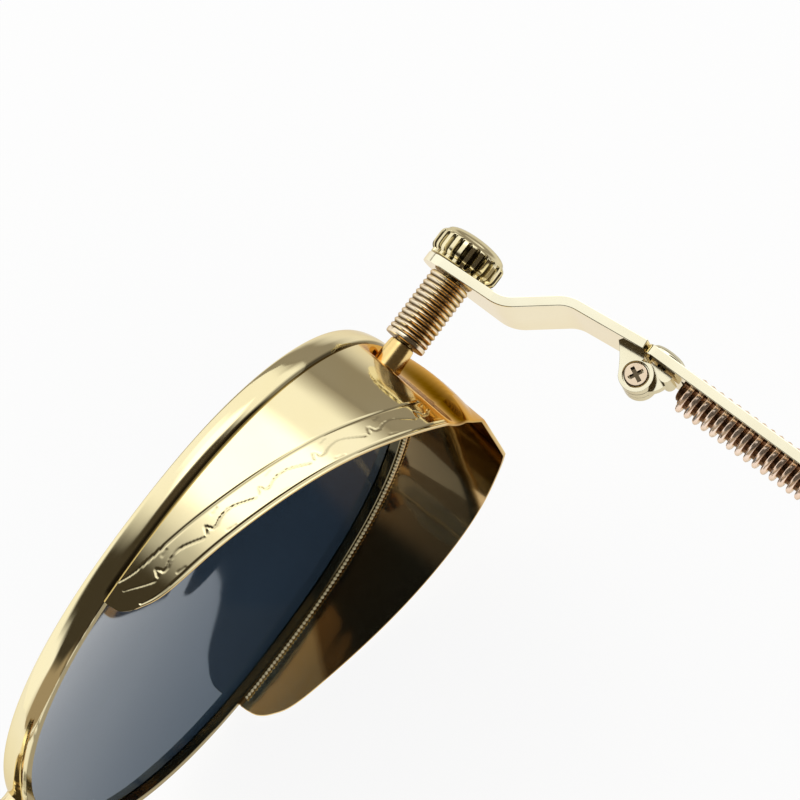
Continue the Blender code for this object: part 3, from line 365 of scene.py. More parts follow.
bead_count = 380
bead_radius = 0.00020
bead_stand = 0.00011
bead_end = radians(104)
bead_line = lens_half + 0.00051
beads = turn_up("beads", [(bead_line + bead_radius * cos(step * pi / 4),
                           bead_radius * sin(step * pi / 4)) for step in range(8)],
                bead_count * 6, True)
for corner in beads.data.vertices:
    reach, angle = polar(corner)
    swell = 0.35 + 0.65 * abs(sin(angle * bead_count / 2))
    widen(corner, (bead_line + (reach - bead_line) * swell) / reach)
    corner.co.z = corner.co.z * swell - bead_stand
bpy.ops.object.mode_set(mode="EDIT")
bpy.ops.mesh.select_all(action="DESELECT")
bpy.ops.object.mode_set(mode="OBJECT")
for corner in beads.data.vertices:
    corner.select = abs(polar(corner)[1]) > bead_end
bpy.ops.object.mode_set(mode="EDIT")
bpy.ops.mesh.delete(type="VERT")
bpy.ops.mesh.select_all(action="SELECT")
bpy.ops.mesh.fill_holes(sides=0)
square_off(face_out(beads))
beads.select_set(True)
rim.select_set(True)
bpy.context.view_layer.objects.active = rim
bpy.ops.object.join()
# Oxide lies beside the beads, between them and in the lens's groove, and the beads are satin
soot = marks_on(rim, "groove")
satin = marks_on(rim, "milled")
for corner, mark, frost in zip(rim.data.vertices, soot.data, satin.data):
    reach, angle = polar(corner)
    out = reach / beyond_circle(angle) - lens_half
    if abs(angle) < bead_end and 0.00080 < out < 0.00114 and corner.co.z < 0.0005:
        mark.value = 1
    elif -0.0002 < out < 0.00002 and 0.00002 < corner.co.z < 0.0012:
        mark.value = 1
    elif 0 < out < 0.0008 and corner.co.z < -0.00002:
        mark.value = 0.8 - 0.8 * abs(sin(angle * bead_count / 2))
        frost.value = 1
    elif 0 < out < 0.0008 and corner.co.z < 0.00006:
        mark.value = 0.8
rim_gold = plated("rim gold plate", pale_gold, rim_deep_gold, oxide=0.85)
rim_tree = rim_gold.node_tree
feed(rim_tree.nodes["Principled BSDF"], {"Metallic": shade(
    rim_tree, "MapRange", "Result",
    {"Value": mask(rim_tree, "milled"), "To Min": 1.0, "To Max": 0.3})})
dress_pair(seat(rim, lens_place), rim_gold, "front", "rim")


# Lenses
# Each lens is a thin shell of dark blue-grey plastic with a hard gloss coat. It is bowed a
# little towards the front, and its bevelled edge snaps into the rim's groove.

lens_back = 0.00095
lens_front = 0.00195
lens_curve = 0.130
lens_edge = lens_half - 0.0001
lens_rings = 12


def ramp(tree, factor, *stops):
    """A colour that runs from one stop to the other, each a position and a colour."""
    colour = shade(tree, "ValToRGB", "Color", {"Fac": factor})
    for element, (position, value) in zip(colour.node.color_ramp.elements, stops):
        element.position = position
        element.color = (*value, 1)
    return colour


def mottled(name, noise, dark, light, rough, plain):
    """A plastic whose colour and roughness follow one noise, with its plain values."""
    material, tree, shader = new_material(name)
    cloud = shade(tree, "TexNoise", "Fac",
                  {"Vector": shade(tree, "TexCoord", "Object", {}), **noise})
    gloss = shade(tree, "MapRange", "Result",
                  {"Value": cloud, "To Min": rough[0], "To Max": rough[1]})
    feed(shader, {"Base Color": ramp(tree, cloud, dark, light), "Roughness": gloss, **plain})
    return material


lens_profile = [(lens_edge * (step + 1) / lens_rings, lens_front) for step in range(lens_rings)]
lens_profile += [(lens_half + 0.0003, (lens_back + lens_front) / 2)]
lens_profile += [(lens_edge * step / lens_rings, lens_back) for step in range(lens_rings, 0, -1)]
lens = turn_up("tinted_lens", lens_profile, 160)
edge_drop = lens_curve - sqrt(lens_curve ** 2 - lens_half ** 2)
for corner in lens.data.vertices:
    reach = min(polar(corner)[0], lens_half)
    corner.co.z += edge_drop - (lens_curve - sqrt(lens_curve ** 2 - reach ** 2))
square_off(lens)
lens_tint = mottled("dark blue-grey lens", {"Scale": 60}, (0.3, (0.026, 0.048, 0.078)),
                    (0.7, (0.034, 0.060, 0.094)), (0.02, 0.06),
                    {"IOR": 1.60, "Specular Tint": (0.42, 0.70, 1.0, 1),
                     "Transmission Weight": 0.35})
dress_pair(seat(lens, lens_place), lens_tint, "front", "lens")


# Side shields
# Each shield is a thin brass sheet bent round the outer side of the rim and soldered to it. Two
# lines and a vine are engraved by its rear edge, and a pocket is pressed in for the post. The
# pocket carries a painted warm glow and a streak of painted shade, and its inner side is painted
# in deeper, browner shade.

sheet = 0.0003
shield_offset = 0.000996
shield_lap = 0.0003
shield_span = radians(105.5)
shield_depth = 0.0115
flat_draw = 0.0012
# Depth of the sheet at shares of its half span, as shares of the full depth
edge_shares = ((-1.0, 0.06), (-0.995, 0.16), (-0.975, 0.25), (-0.935, 0.34), (-0.84, 0.435),
               (-0.64, 0.604), (-0.44, 0.745), (-0.28, 0.83), (-0.14, 0.905), (0.05, 0.96),
               (0.20, 1.0), (0.28, 0.98), (0.41, 0.885), (0.59, 0.672), (0.79, 0.456),
               (0.92, 0.338), (0.97, 0.24), (0.995, 0.15), (1.0, 0.06))
pocket_depth = 0.0013
pocket_crest = 0.00035
pocket_front = 0.0006
band_width = 0.0034
band_rows = 32
rest_rows = 13
columns = 900
groove_depth = 0.00004
# Distance in from the rear edge, and half width
engraved_lines = ((0.0031, 0.00013), (0.00026, 0.00011))
# The engraving is left out over the pocket and fades out at its ends
plain_low = radians(-8)
plain_high = radians(34)
fade_end = radians(105)
fade_width = radians(4)
vine_start = radians(94.9)
vine_period = radians(11.5)
vine_half = 0.00012
stroke_reach = 0.001
# One repeat of the vine: share along the repeat, and distance in from the rear edge
vine = ((-0.18, 0.00140), (-0.10, 0.00152), (-0.03, 0.00204), (0.00, 0.00188), (0.02, 0.00156),
        (0.10, 0.00154), (0.22, 0.00184), (0.38, 0.00204), (0.52, 0.00196), (0.70, 0.00162),
        (0.82, 0.00140), (0.90, 0.00152))
leaves = (((0.20, 0.00258), (0.32, 0.00276)), ((0.14, 0.00066), (0.28, 0.00054)))


def mix(low, high, share):
    """The value a share of the way from low to high."""
    return low + (high - low) * share


def clamp(value):
    """The value kept between 0 and 1."""
    return min(max(value, 0), 1)


def flowing(points, steps=5):
    """A smooth line through points, each stretch led by its neighbours."""
    line = []
    for stretch in zip(points, points[1:], points[2:], points[3:]):
        for step in range(steps):
            share = step / steps
            line.append(tuple(
                0.5 * (2 * b + (c - a) * share + (2 * a - 5 * b + 4 * c - d) * share ** 2
                       + (3 * b - a - 3 * c + d) * share ** 3)
                for a, b, c, d in zip(*stretch)))
    return line + [points[-2]]


edge_line = flowing((edge_shares[0], *edge_shares, edge_shares[-1]), 8)
vine_line = flowing(vine)
repeat_length = vine_period * (lens_half + shield_offset)
# Each stroke of the vine and of its leaves: its ends and its share of the full depth
strokes = [((start[0] * repeat_length, start[1]), (end[0] * repeat_length, end[1]), share)
           for lines, share in ((list(zip(vine_line, vine_line[1:])), 0.6), (leaves, 0.35))
           for start, end in lines]


def rear_edge(share):
    """Depth of the shield at a share of its half span."""
    for (left, left_depth), (right, right_depth) in zip(edge_line, edge_line[1:]):
        if share <= right:
            part = (share - left) / (right - left)
            return shield_depth * mix(left_depth, right_depth, part)
    return shield_depth * edge_line[-1][1]


def from_stroke(point, start, end):
    """Distance from a point to a stroke."""
    along = (end[0] - start[0], end[1] - start[1])
    offset = (point[0] - start[0], point[1] - start[1])
    share = clamp((offset[0] * along[0] + offset[1] * along[1])
                  / (along[0] ** 2 + along[1] ** 2))
    return hypot(offset[0] - along[0] * share, offset[1] - along[1] * share)


def engraved(angle, inset):
    """Depth of the lines, the vine and its leaves at a place on the shield's edge band."""
    turn = (vine_start - abs(angle)) / vine_period
    if inset > band_width or plain_low < angle < plain_high or turn < -0.6:
        return 0
    deep = max(0, *(1 - ((inset - place) / half) ** 2 for place, half in engraved_lines))
    fade = clamp((fade_end - abs(angle)) / fade_width)
    for repeat in (0, 1):
        place = (turn % 1 - repeat) * repeat_length
        for start, end, share in strokes:
            if abs(start[0] - place) < stroke_reach:
                gap = from_stroke((place, inset), start, end)
                deep = max(deep, share * fade * (1 - (gap / vine_half) ** 2))
    return groove_depth * deep


def shield_place(angle, back, raised):
    """Place on the shield's middle surface in the rim's frame."""
    across, up = outline_place(angle, shield_offset)
    depth_share = min(back / shield_depth, 1)
    flat_side = lens_half + shield_offset + sheet - flat_draw * depth_share
    if across > flat_side:
        up = up * flat_side / across
        across = flat_side
    low = mix(radians(2), radians(28), depth_share)
    high = mix(radians(28), radians(33.5), depth_share)
    place = (angle - low) / (high - low)
    strength = (1 - depth_share) ** 0.6 * clamp(back / pocket_front)
    shift = raised
    if 0 < place < 1:
        shift -= pocket_depth * sin(pi * place) ** 1.2 * strength
    if -0.6 < place < 0.25:
        shift += pocket_crest * sin(pi * (place + 0.6) / 0.85) * strength
    reach = hypot(across, up)
    return Vector((across * (1 + shift / reach), up * (1 + shift / reach), -back))


bpy.ops.mesh.primitive_grid_add(x_subdivisions=columns, y_subdivisions=band_rows + rest_rows,
                                size=2)
shield = new_object("shield_sheet")
places = []
lapped = []
for corner in shield.data.vertices:
    share = (sin(corner.co.x * pi / 2) + corner.co.x * 5) / 6
    depth = max(rear_edge(share), 0.0002)
    band_share = min(band_width / depth, 0.75)
    row = (1 - corner.co.y) / 2 * (band_rows + rest_rows)
    if row <= band_rows:
        inset = depth * band_share * row / band_rows
    else:
        inset = depth * mix(band_share, 1, min((row - band_rows) / (rest_rows - 1), 1))
    places.append((share * shield_span, max(depth - inset, 0.0001), inset))
    corner.co = shield_place(*places[-1][:2], sheet / 2)
    lapped.append(row > band_rows + rest_rows - 0.5)
    if lapped[-1]:
        corner.co = shield_place(places[-1][0], -shield_lap, -sheet / 2)
apply_step(face_out(shield), "SOLIDIFY", thickness=sheet, offset=-1, use_even_offset=False)
grooves = marks_on(shield, "groove")
for (angle, back, inset), lap, corner, groove in zip(places, lapped, shield.data.vertices,
                                                     grooves.data):
    depth = 0 if lap else engraved(angle, inset)
    if lap:
        groove.value = 1
    elif depth > 0:
        corner.co = shield_place(angle, back, sheet / 2 - depth)
        groove.value = min(depth / groove_depth, 1)
# Painted light and shade for the shield's material: a warm glow and a shade streak in the pocket,
# and shade on the inner side
painted_warm_tone = marks_on(shield, "pocket")
painted_shade_values = marks_on(shield, "painted_shade")
for index, (angle, back, _) in enumerate(places):
    depth_share = back / shield_depth
    high = mix(radians(29), radians(35), depth_share)
    low = mix(radians(-8), radians(8), depth_share)
    foot = mix(radians(9), radians(29.5), depth_share)
    width = mix(radians(6), radians(2.8), depth_share)
    # A painted warm glow over the pocket, and a streak of painted shade along its trough
    painted_warm_tone.data[index].value = clamp((high - angle) / radians(1.5)) * clamp((angle - low)
                                                                            / radians(9))
    painted_shade_values.data[index].value = max(1 - ((angle - foot) / width) ** 2, 0)
    # The same corner on the sheet's inner side, in painted warm brown shade that deepens downward
    # and lifts at the lit lower tip
    border = mix(radians(-80), radians(-103), depth_share)
    lit = clamp((border - angle) / radians(2.5))
    shaded = clamp((radians(-48) - angle) / radians(14))
    painted_warm_tone.data[len(places) + index].value = 0.55 - 0.25 * lit
    painted_shade_values.data[len(places) + index].value = (0.38 + 0.34 * shaded) * (1 - lit)
soften(shield, sheet * 0.3, 2, 70)
# The orange colour is the pocket's painted warm glow; the painted shade colour is set in plated
shield_gold = plated("shield gold plate", pale_gold, rim_deep_gold, gloss=0.05, oxide=0.65,
                     painted_warm_colour=(0.72, 0.38, 0.09), edge=(0.80, 0.66, 0.44))
dress_pair(seat(shield, lens_place), shield_gold, "front", "side_shield")


# Rim screws
# A small slotted machine screw, turned from the same pale gold plated stock, closes each rim
# on its lens. It runs through the two halves of the closing block.

screw_foot = -block_length / 2
screw_seat = block_length / 2 + 0.0001
screw_top = screw_seat + 0.00045
worn_gold = (0.88, 0.70, 0.40)


def slotted_screw(name, shank, head, heights, slope, drop, slot, sides):
    """A slotted screw. Its heights are those of its foot, its head's seat and its top."""
    foot, under, top = heights
    width, depth = slot
    screw = turn_up(name, [(shank - 0.0001, foot), (shank, foot + 0.0001), (shank, under),
                           (head - 0.00005, under), (head, under + 0.00005),
                           (head, top - drop), (head - slope, top)], sides)
    return cut_away(screw, brick("saw", (-overrun, -width / 2, top - depth),
                                 (overrun, width / 2, top + overrun)))


rim_screw = slotted_screw("rim_closing_screw", 0.0004, 0.0007,
                          (screw_foot, screw_seat, screw_top), 0.00012, 0.00012,
                          (0.00016, 0.0002), 40)
dress_pair(seat(rim_screw, lens_place @ screw_place),
           plated("rim screw plate", pale_gold, worn_gold, gloss=0.16),
           "front", "rim_screw")


# Bridge
# The bridge is a round gold plated wire, arched up and forward and soldered to the two rims
# with a fillet at each end. Two turned rings stand beside each fillet.

bridge_rise = 0.007
bridge_arch = 0.0026
bridge_forward = 0.00118
bridge_radius = 0.00125
bridge_steps = 96
# Shares of the bridge's half, from its end
fillet_width = 0.09
ring_places = (0.17, 0.23)
ring_width = 0.022


def wire(name, points, radius, sides, swell=None):
    """A round wire along a line of points, each thicker or thinner as swell says."""
    curve = bpy.data.curves.new(name, "CURVE")
    curve.dimensions = "3D"
    curve.bevel_depth = radius
    curve.bevel_resolution = sides // 2 - 2
    curve.use_fill_caps = True
    line = curve.splines.new("POLY")
    line.points.add(len(points) - 1)
    for index, (point, place) in enumerate(zip(line.points, points)):
        point.co = (*place, 1)
        if swell is not None:
            point.radius = swell[index]
    item = bpy.data.objects.new(name, curve)
    bpy.context.scene.collection.objects.link(item)
    bpy.ops.object.select_all(action="DESELECT")
    item.select_set(True)
    bpy.context.view_layer.objects.active = item
    bpy.ops.object.convert(target="MESH")
    return face_out(new_object(name), True)


bridge_angle = pi - atan2(bridge_rise, lens_half)
bridge_end = lens_place @ Vector((*outline_place(bridge_angle, rim_wall * 0.6), rim_depth / 2))
bridge_points = []
bridge_swell = []
for index in range(bridge_steps + 1):
    share = 2 * index / bridge_steps - 1
    crown = cos(share * pi / 2)
    bridge_points.append((bridge_end.x * share, bridge_end.y - bridge_forward * crown,
                          bridge_end.z + bridge_arch * crown))
    from_end = 1 - abs(share)
    fillet = 0.22 * max(1 - from_end / fillet_width, 0) ** 2
    rings = sum(max(1 - ((from_end - ring) / ring_width) ** 2, 0) for ring in ring_places)
    bridge_swell.append(0.84 + 0.14 * crown + fillet + 0.13 * rings)
bridge = wire("bridge_bar", bridge_points, bridge_radius, 24, bridge_swell)
dress(bridge, plated("bridge gold plate", pale_gold, worn_gold, gloss=0.07), "front", "bridge")


# Post lugs
# A turned stud of deep gold stands in each shield's pocket. Its flared foot is soldered to the
# pocket's floor, and its spigot carries the post.

post_back = 0.00149
post_start = 0.02562
post_length = 0.0065
post_bore = 0.00085
seat_gap = 0.0001
arm_rise = 0.0076
arm_place = moved(lens_spacing / 2, model_back, lens_rise + arm_rise) @ turned(wrap_angle, "Z")
post_place = arm_place @ moved(post_start, post_back, 0) @ turned(pi / 2, "Y")
# Each ring of the flared foot: its radius, and its height over the pocket's floor
lug_foot = ((0.00205, -0.00006), (0.00190, 0.00005), (0.00173, 0.00018), (0.00157, 0.00036),
            (0.00142, 0.00060), (0.00130, 0.00090))
foot_start = -0.003
foot_pitch = 0.0001
spigot = post_bore - seat_gap
lug = turn_up("pocket_stud", [(radius, foot_start + foot_pitch * step)
                              for step, (radius, _) in enumerate(lug_foot)]
              + [(0.00120, -0.0006), (0.00114, -0.00022), (0.00098, -seat_gap),
                 (spigot, -seat_gap), (spigot, 0.0013), (spigot - 0.00015, 0.0014)], 64)
inward = (post_place.to_3x3() @ Vector((0, 0, -1))).normalized()
seat(lug, post_place)
shield_left = bpy.data.objects["shield_sheet_left"]
for corner in lug.data.vertices:
    spot = post_place.inverted() @ corner.co
    step = round((spot.z - foot_start) / foot_pitch)
    if step < len(lug_foot):
        start = post_place @ Vector((spot.x, spot.y, 0.004))
        hit, floor_place, _, _ = shield_left.ray_cast(start, inward)
        if hit:
            corner.co = floor_place - inward * lug_foot[step][1]
lug_gold = plated("deep gold plate", (0.95, 0.70, 0.30), (0.86, 0.54, 0.17), gloss=0.20)
dress_pair(lug, lug_gold, "front", "post_lug")


# Post sleeves
# A rose gold sleeve stands between each lug and arm plate. Thirteen rounded ridges are rolled
# into it, so that it looks like a wound spring, and its ends are plain.

post_radius = 0.0019
ridge_count = 13
ridge_steps = 10
ridge_depth = 0.00015
post_profile = [(post_bore, 0.00004), (post_bore + 0.0001, 0), (post_radius - 0.0004, 0)]
for index in range(ridge_count * ridge_steps + 1):
    ridge = 0.5 - 0.5 * cos(2 * pi * index / ridge_steps)
    radius = post_radius - ridge_depth + ridge_depth * ridge ** 0.7
    if index < ridge_steps:
        radius = post_radius - 0.00006 * abs(index / ridge_steps * 2 - 1) ** 4
    post_profile.append((radius, post_length * index / (ridge_count * ridge_steps)))
post_profile += [(post_bore + 0.0001, post_length), (post_bore, post_length - 0.00004)]
post = turn_up("ridged_sleeve", post_profile, 48, True)
valleys = marks_on(post, "groove")
for corner, mark in zip(post.data.vertices, valleys.data):
    mark.value = clamp((post_radius - polar(corner)[0]) / ridge_depth * 1.4 - 0.3)
dress_pair(seat(post, post_place),
           plated("post rose gold", (0.93, 0.80, 0.60), (0.84, 0.66, 0.46), gloss=0.16, oxide=0.9,
                  edge=(0.62, 0.50, 0.36)),
           "front", "post_sleeve")


# Thumbscrews
# Each knob is turned with a low dome, milled with 24 grooves round its band and plated pale
# gold. Its plain shank runs through the arm plate into the post.

plate_thickness = 0.0009
knob_foot = post_length + 2 * seat_gap + plate_thickness
knob_collar = 0.00035
band_low = knob_foot + knob_collar
knob_band = 0.002
knob_radius = 0.00322
knob_neck = 0.0029
dome_foot = 0.00285
dome_rise = 0.0008
flute_count = 24
flute_depth = 0.0004
knob_profile = [(0.0006, 0.0020), (0.00075, 0.00215), (0.00075, knob_foot),
                (knob_neck - 0.00006, knob_foot), (knob_neck, knob_foot + 0.00006),
                (knob_neck, band_low)]
for step in range(25):
    bulge = 1 - abs(step / 12 - 1) ** 5
    knob_profile.append((mix(knob_neck + 0.00002, knob_radius, bulge),
                         band_low + knob_band * step / 24))
for step in range(1, 14):
    lean = step / 14 * pi / 2
    knob_profile.append((dome_foot * cos(lean) ** 0.8 + 0.00001,
                         band_low + knob_band + dome_rise * sin(lean)))
knob = turn_up("fluted_knob", knob_profile, flute_count * 14)
milled = marks_on(knob, "groove")
for corner, groove in zip(knob.data.vertices, milled.data):
    share = (corner.co.z - band_low) / knob_band
    reach, angle = polar(corner)
    if 0 < share < 1 and reach > knob_neck - 0.0009:
        place = angle * flute_count / (2 * pi) % 1
        across = max(1 - (abs(place - 0.5) / 0.25) ** 2, 0)
        along = max(1 - (max(share - 0.30, 0) / 0.60) ** 4, 0)
        cut = across ** 0.8 * along
        groove.value = min(cut * 1.3, 1)
        widen(corner, 1 - flute_depth * cut / reach)
dress_pair(seat(knob, post_place),
           plated("knob gold plate", pale_gold, (0.88, 0.77, 0.50), gloss=0.12, oxide=0.8,
                  edge=(0.66, 0.62, 0.50)),
           "thumbscrew", "thumbscrew")


# Arm plates
# Each arm is a strip of thick brass plate, cranked outward round the temple and polished. A
# round eye at its front is held between the post and the thumbscrew.

plate_half = 0.00405
plate_eye = 0.00295
eye_flare = 0.0045
crank_start = 0.00718
crank_end = 0.0137
cranked_out = 0.03538
crank_drift = 0.00025
plate_end = 0.0212
bend_radius = 0.0017
light_gold = (0.98, 0.93, 0.73)
light_deep_gold = (0.95, 0.87, 0.63)


def rounded_path(corners, radius, steps=10):
    """A path through corners, each rounded to a radius."""
    line = [corners[0]]
    for before, corner, after in zip(corners, corners[1:], corners[2:]):
        arrive = (corner - before).normalized()
        leave = (after - corner).normalized()
        reach = radius * arrive.angle(leave)
        for index in range(steps + 1):
            share = index / steps
            start = corner - arrive * reach * (1 - share)
            line.append(start.lerp(corner + leave * reach * share, share))
    return line + [corners[-1]]


def slab(name, outline, low, high):
    """A flat piece: one ring of corners set to the outline, filled and extruded upward."""
    bpy.ops.mesh.primitive_circle_add(vertices=len(outline), radius=0.001, location=(0, 0, 0),
                                      fill_type="NGON")
    item = new_object(name)
    for corner, (across, up) in zip(item.data.vertices, outline):
        corner.co = (across, up, low)
    bpy.ops.object.mode_set(mode="EDIT")
    bpy.ops.mesh.select_all(action="SELECT")
    bpy.ops.mesh.extrude_region_move(TRANSFORM_OT_translate={"value": (0, 0, high - low)})
    return face_out(item)


def round_part(middle, radius, start, end, steps):
    """Points on an arc from one angle to another."""
    return [(middle[0] + radius * cos(mix(start, end, index / steps)),
             middle[1] + radius * sin(mix(start, end, index / steps)))
            for index in range(steps + 1)]


plate_middle = post_start + post_length + seat_gap + plate_thickness / 2
cranked = lens_spacing / 2 + cranked_out
arm_height = lens_rise + arm_rise
plan = rounded_path([
    (arm_place @ Vector((plate_middle, post_back - plate_eye, 0))).to_2d(),
    (arm_place @ Vector((plate_middle, crank_start, 0))).to_2d(),
    Vector((cranked, model_back + crank_end)),
    Vector((cranked + crank_drift, model_back + plate_end))], bend_radius)
flare = atan2(plate_half - plate_eye, eye_flare)
stops = [0]
for start, end in zip(plan, plan[1:]):
    stops.append(stops[-1] + (end - start).length)
headings = [(end - start).normalized() for start, end in zip(plan, plan[1:])]
headings = [headings[0], *((before + after).normalized() for before, after
                           in zip(headings, headings[1:])), headings[-1]]
plate_outline = round_part((plate_eye, 0), plate_eye, pi / 2 + flare, 3 * pi / 2 - flare, 40)
plate_outline += [(plate_eye + eye_flare, -plate_half), (stops[-1], -plate_half),
                  (stops[-1], plate_half), (plate_eye + eye_flare, plate_half)]
plate = slab("cranked_plate", plate_outline, -plate_thickness / 2, plate_thickness / 2)
drill(plate, post_bore, moved(plate_eye, 0, 0), 40)
soften(plate, 0.00008, 2, 50)
bpy.context.view_layer.objects.active = plate
bpy.ops.object.mode_set(mode="EDIT")
for stop in stops[1:-1]:
    bpy.ops.mesh.select_all(action="SELECT")
    bpy.ops.mesh.bisect(plane_co=(stop, 0, 0), plane_no=(1, 0, 0))
bpy.ops.object.mode_set(mode="OBJECT")
for corner in plate.data.vertices:
    along, up, out = corner.co
    index = 0
    while index < len(stops) - 2 and stops[index + 1] < along:
        index += 1
    share = (along - stops[index]) / (stops[index + 1] - stops[index])
    spot = plan[index] + (plan[index + 1] - plan[index]) * share
    heading = headings[index].lerp(headings[index + 1], clamp(share)).normalized()
    corner.co = (spot.x + heading.y * out, spot.y - heading.x * out, arm_height + up)
arm_gold = plated("arm gold plate", light_gold, light_deep_gold, edge=(0.88, 0.80, 0.68))
dress_pair(face_out(plate), arm_gold, "front", "arm_plate")


# Front hinge leaves
# Two knuckles and their web are one milled piece, soldered by its foot to the inside of the
# arm plate. The top knuckle is sunk for the hinge screw's head.

hinge_out = 0.0334
hinge_behind = 0.02139
hinge_middle = Vector((lens_spacing / 2 + hinge_out, model_back + hinge_behind))
knuckle_radius = 0.0015
knuckle_height = 0.00107
barrel_height = 3 * knuckle_height + 2 * seat_gap
barrel_foot = arm_height - barrel_height / 2
hinge_shank = 0.00055
hinge_head = 0.00105
head_height = 0.0004
leaf_foot = 0.0026
leaf_setback = 0.00008
solder_lap = 0.00002
milled_edge = (0.62, 0.56, 0.44)


def hollow_curve(start, turn, end, steps):
    """Points on a curve from start to end that bends towards the turning point."""
    points = []
    for index in range(1, steps):
        share = index / steps
        first = Vector(start).lerp(Vector(turn), share)
        points.append(tuple(first.lerp(Vector(turn).lerp(Vector(end), share), share)))
    return points


def turn_out(leaf, radius, low, high):
    """Turn out a leaf round the hinge's axis between two heights above the barrel's foot."""
    drum = turn_up("drum", [(radius, barrel_foot + low), (radius, barrel_foot + high)], 64)
    cut_away(leaf, seat(drum, moved(*hinge_middle, 0)))


def knuckle_ring(first, second, open_angle, close_angle):
    """The knuckle's outline, left open towards the middle of two corners of its leaf."""
    toward = atan2((first.y + second.y) / 2 - hinge_middle.y,
                   (first.x + second.x) / 2 - hinge_middle.x)
    return round_part(hinge_middle, knuckle_radius, toward + radians(open_angle),
                      toward + radians(360 - close_angle), 40)


leaf_face = cranked - plate_thickness / 2 + crank_drift - solder_lap
foot_rear = Vector((leaf_face, model_back + plate_end - leaf_setback))
foot_front = Vector((leaf_face - 0.00004, foot_rear.y - leaf_foot))
ring = knuckle_ring(foot_rear, Vector((foot_rear.x, foot_front.y)), 62, 84)
notch = foot_rear + Vector((-0.00045, 0.00010))
leaf_outline = ([tuple(foot_rear), tuple(foot_rear + Vector((-0.00025, 0.00012))), tuple(notch)]
                + hollow_curve(notch, notch + Vector((-0.0002, -0.0003)), ring[0], 5) + ring
                + hollow_curve(ring[-1], foot_front + Vector((-0.0010, 0.0009)), foot_front, 10)
                + [tuple(foot_front)])
leaf = slab("front_leaf", leaf_outline, barrel_foot, arm_height + barrel_height / 2)
turn_out(leaf, knuckle_radius + seat_gap, knuckle_height, 2 * (knuckle_height + seat_gap))
turn_out(leaf, hinge_shank + seat_gap, -overrun, barrel_height + overrun)
turn_out(leaf, hinge_head + seat_gap, barrel_height - head_height, barrel_height + overrun)
soften(leaf, 0.00007)
dress_pair(leaf, plated("hinge gold plate", light_gold, light_deep_gold, gloss=0.08,
                        edge=milled_edge),
           "front", "hinge_leaf_front")


# Hinge screws
# A cross-head screw of rose gold colour runs down through the knuckles. Its head lies in the
# top knuckle's sink with a thin dark gap round it.

barrel_top = barrel_height / 2
head_seat = barrel_top - head_height + seat_gap
cross_half = 0.00018
cross_reach = 0.00070
cross_depth = 0.0003
hinge_screw = turn_up("cross_head_screw", [
    (hinge_shank - 0.0001, -barrel_top), (hinge_shank, -barrel_top + 0.0001),
    (hinge_shank, head_seat), (hinge_head, head_seat), (hinge_head, barrel_top - 0.00012),
    (hinge_head - 0.00005, barrel_top - 0.00004), (hinge_head - 0.00014, barrel_top)], 64)
for angle in (radians(30), radians(120)):
    saw = brick("saw", (-cross_reach, -cross_half, barrel_top - cross_depth),
                (cross_reach, cross_half, barrel_top + overrun))
    cut_away(hinge_screw, seat(saw, turned(angle, "Z")))
recess = marks_on(hinge_screw, "groove")
for corner, mark in zip(hinge_screw.data.vertices, recess.data):
    if barrel_top - 0.00035 < corner.co.z < barrel_top - 0.0001:
        mark.value = 1 if polar(corner)[0] < cross_reach + 0.0001 else 0
dress_pair(seat(hinge_screw, moved(*hinge_middle, arm_height)),
           plated("screw rose gold", (0.94, 0.80, 0.62), (0.80, 0.60, 0.42), gloss=0.14,
                  oxide=0.93),
           "front", "hinge_screw")


# Temple bars
# Each temple is a tall strip of thick plate, sawn out with a long window for its spring. It
# narrows behind the window to a tail that lies in the plastic tip.

bar_half = 0.00405
bar_corner = 0.0009
bar_start = 0.02135
bar_out = 0.03558
bar_splay = radians(4.2)
rivet_place = 0.0012
rivet_hole = 0.0005
window_start = 0.0036
window_half = 0.00215
window_corner = 0.0005
coil_turns = 37
coil_pitch = 0.000885
coil_wire = 0.00046
window_end = window_start + coil_turns * coil_pitch + 3 * coil_wire + 2 * seat_gap
taper_start = window_end + 0.0025
taper_length = 0.010
tail_half = 0.0016
tail_start = 0.063
straight = 0.070
ear_radius = 0.038
ear_angle = radians(42)
tip_start = 0.074
tail_end = tip_start + 0.026
temple_place = (moved(lens_spacing / 2 + bar_out, model_back + bar_start, arm_height)
                @ turned(bar_splay, "Z") @ turned(pi / 2, "Z") @ turned(pi / 2, "X"))


def temple_line(distance):
    """Place and downward turn of the temple's middle line at a distance from its front."""
    if distance <= straight:
        return distance, 0, 0
    turn = min((distance - straight) / ear_radius, ear_angle)
    rest = max(distance - straight - ear_radius * ear_angle, 0)
    return (straight + ear_radius * sin(turn) + rest * cos(turn),
            -ear_radius * (1 - cos(turn)) - rest * sin(turn), turn)


upper = []
lower = []
for step in range(25):
    along, up, turn = temple_line(mix(tail_start, tail_end, step / 24))
    upper.append((along + tail_half * sin(turn), up + tail_half * cos(turn)))
    lower.append((along - tail_half * sin(turn), up - tail_half * cos(turn)))
taper = []
for step in range(11):
    share = step / 10
    taper.append((taper_start + taper_length * share,
                  mix(bar_half, tail_half, share ** 2 * (3 - 2 * share))))
bar_outline = round_part((bar_corner, bar_half - bar_corner), bar_corner, pi / 2, pi, 8)
bar_outline += round_part((bar_corner, bar_corner - bar_half), bar_corner, pi, 3 * pi / 2, 8)
bar_outline += [(along, -half) for along, half in taper] + lower + upper[::-1] + taper[::-1]
bar = slab("slotted_temple", bar_outline, -plate_thickness / 2, plate_thickness / 2)
window = []
rear, near = window_end - window_corner, window_start + window_corner
rise = window_half - window_corner
for quarter, middle in enumerate(((rear, rise), (near, rise), (near, -rise), (rear, -rise))):
    window += round_part(middle, window_corner, quarter * pi / 2, (quarter + 1) * pi / 2, 6)
cut_away(bar, slab("window", window, -overrun, overrun))
drill(bar, rivet_hole, moved(rivet_place, 0, 0))
soften(bar, 0.00007, 2, 50)
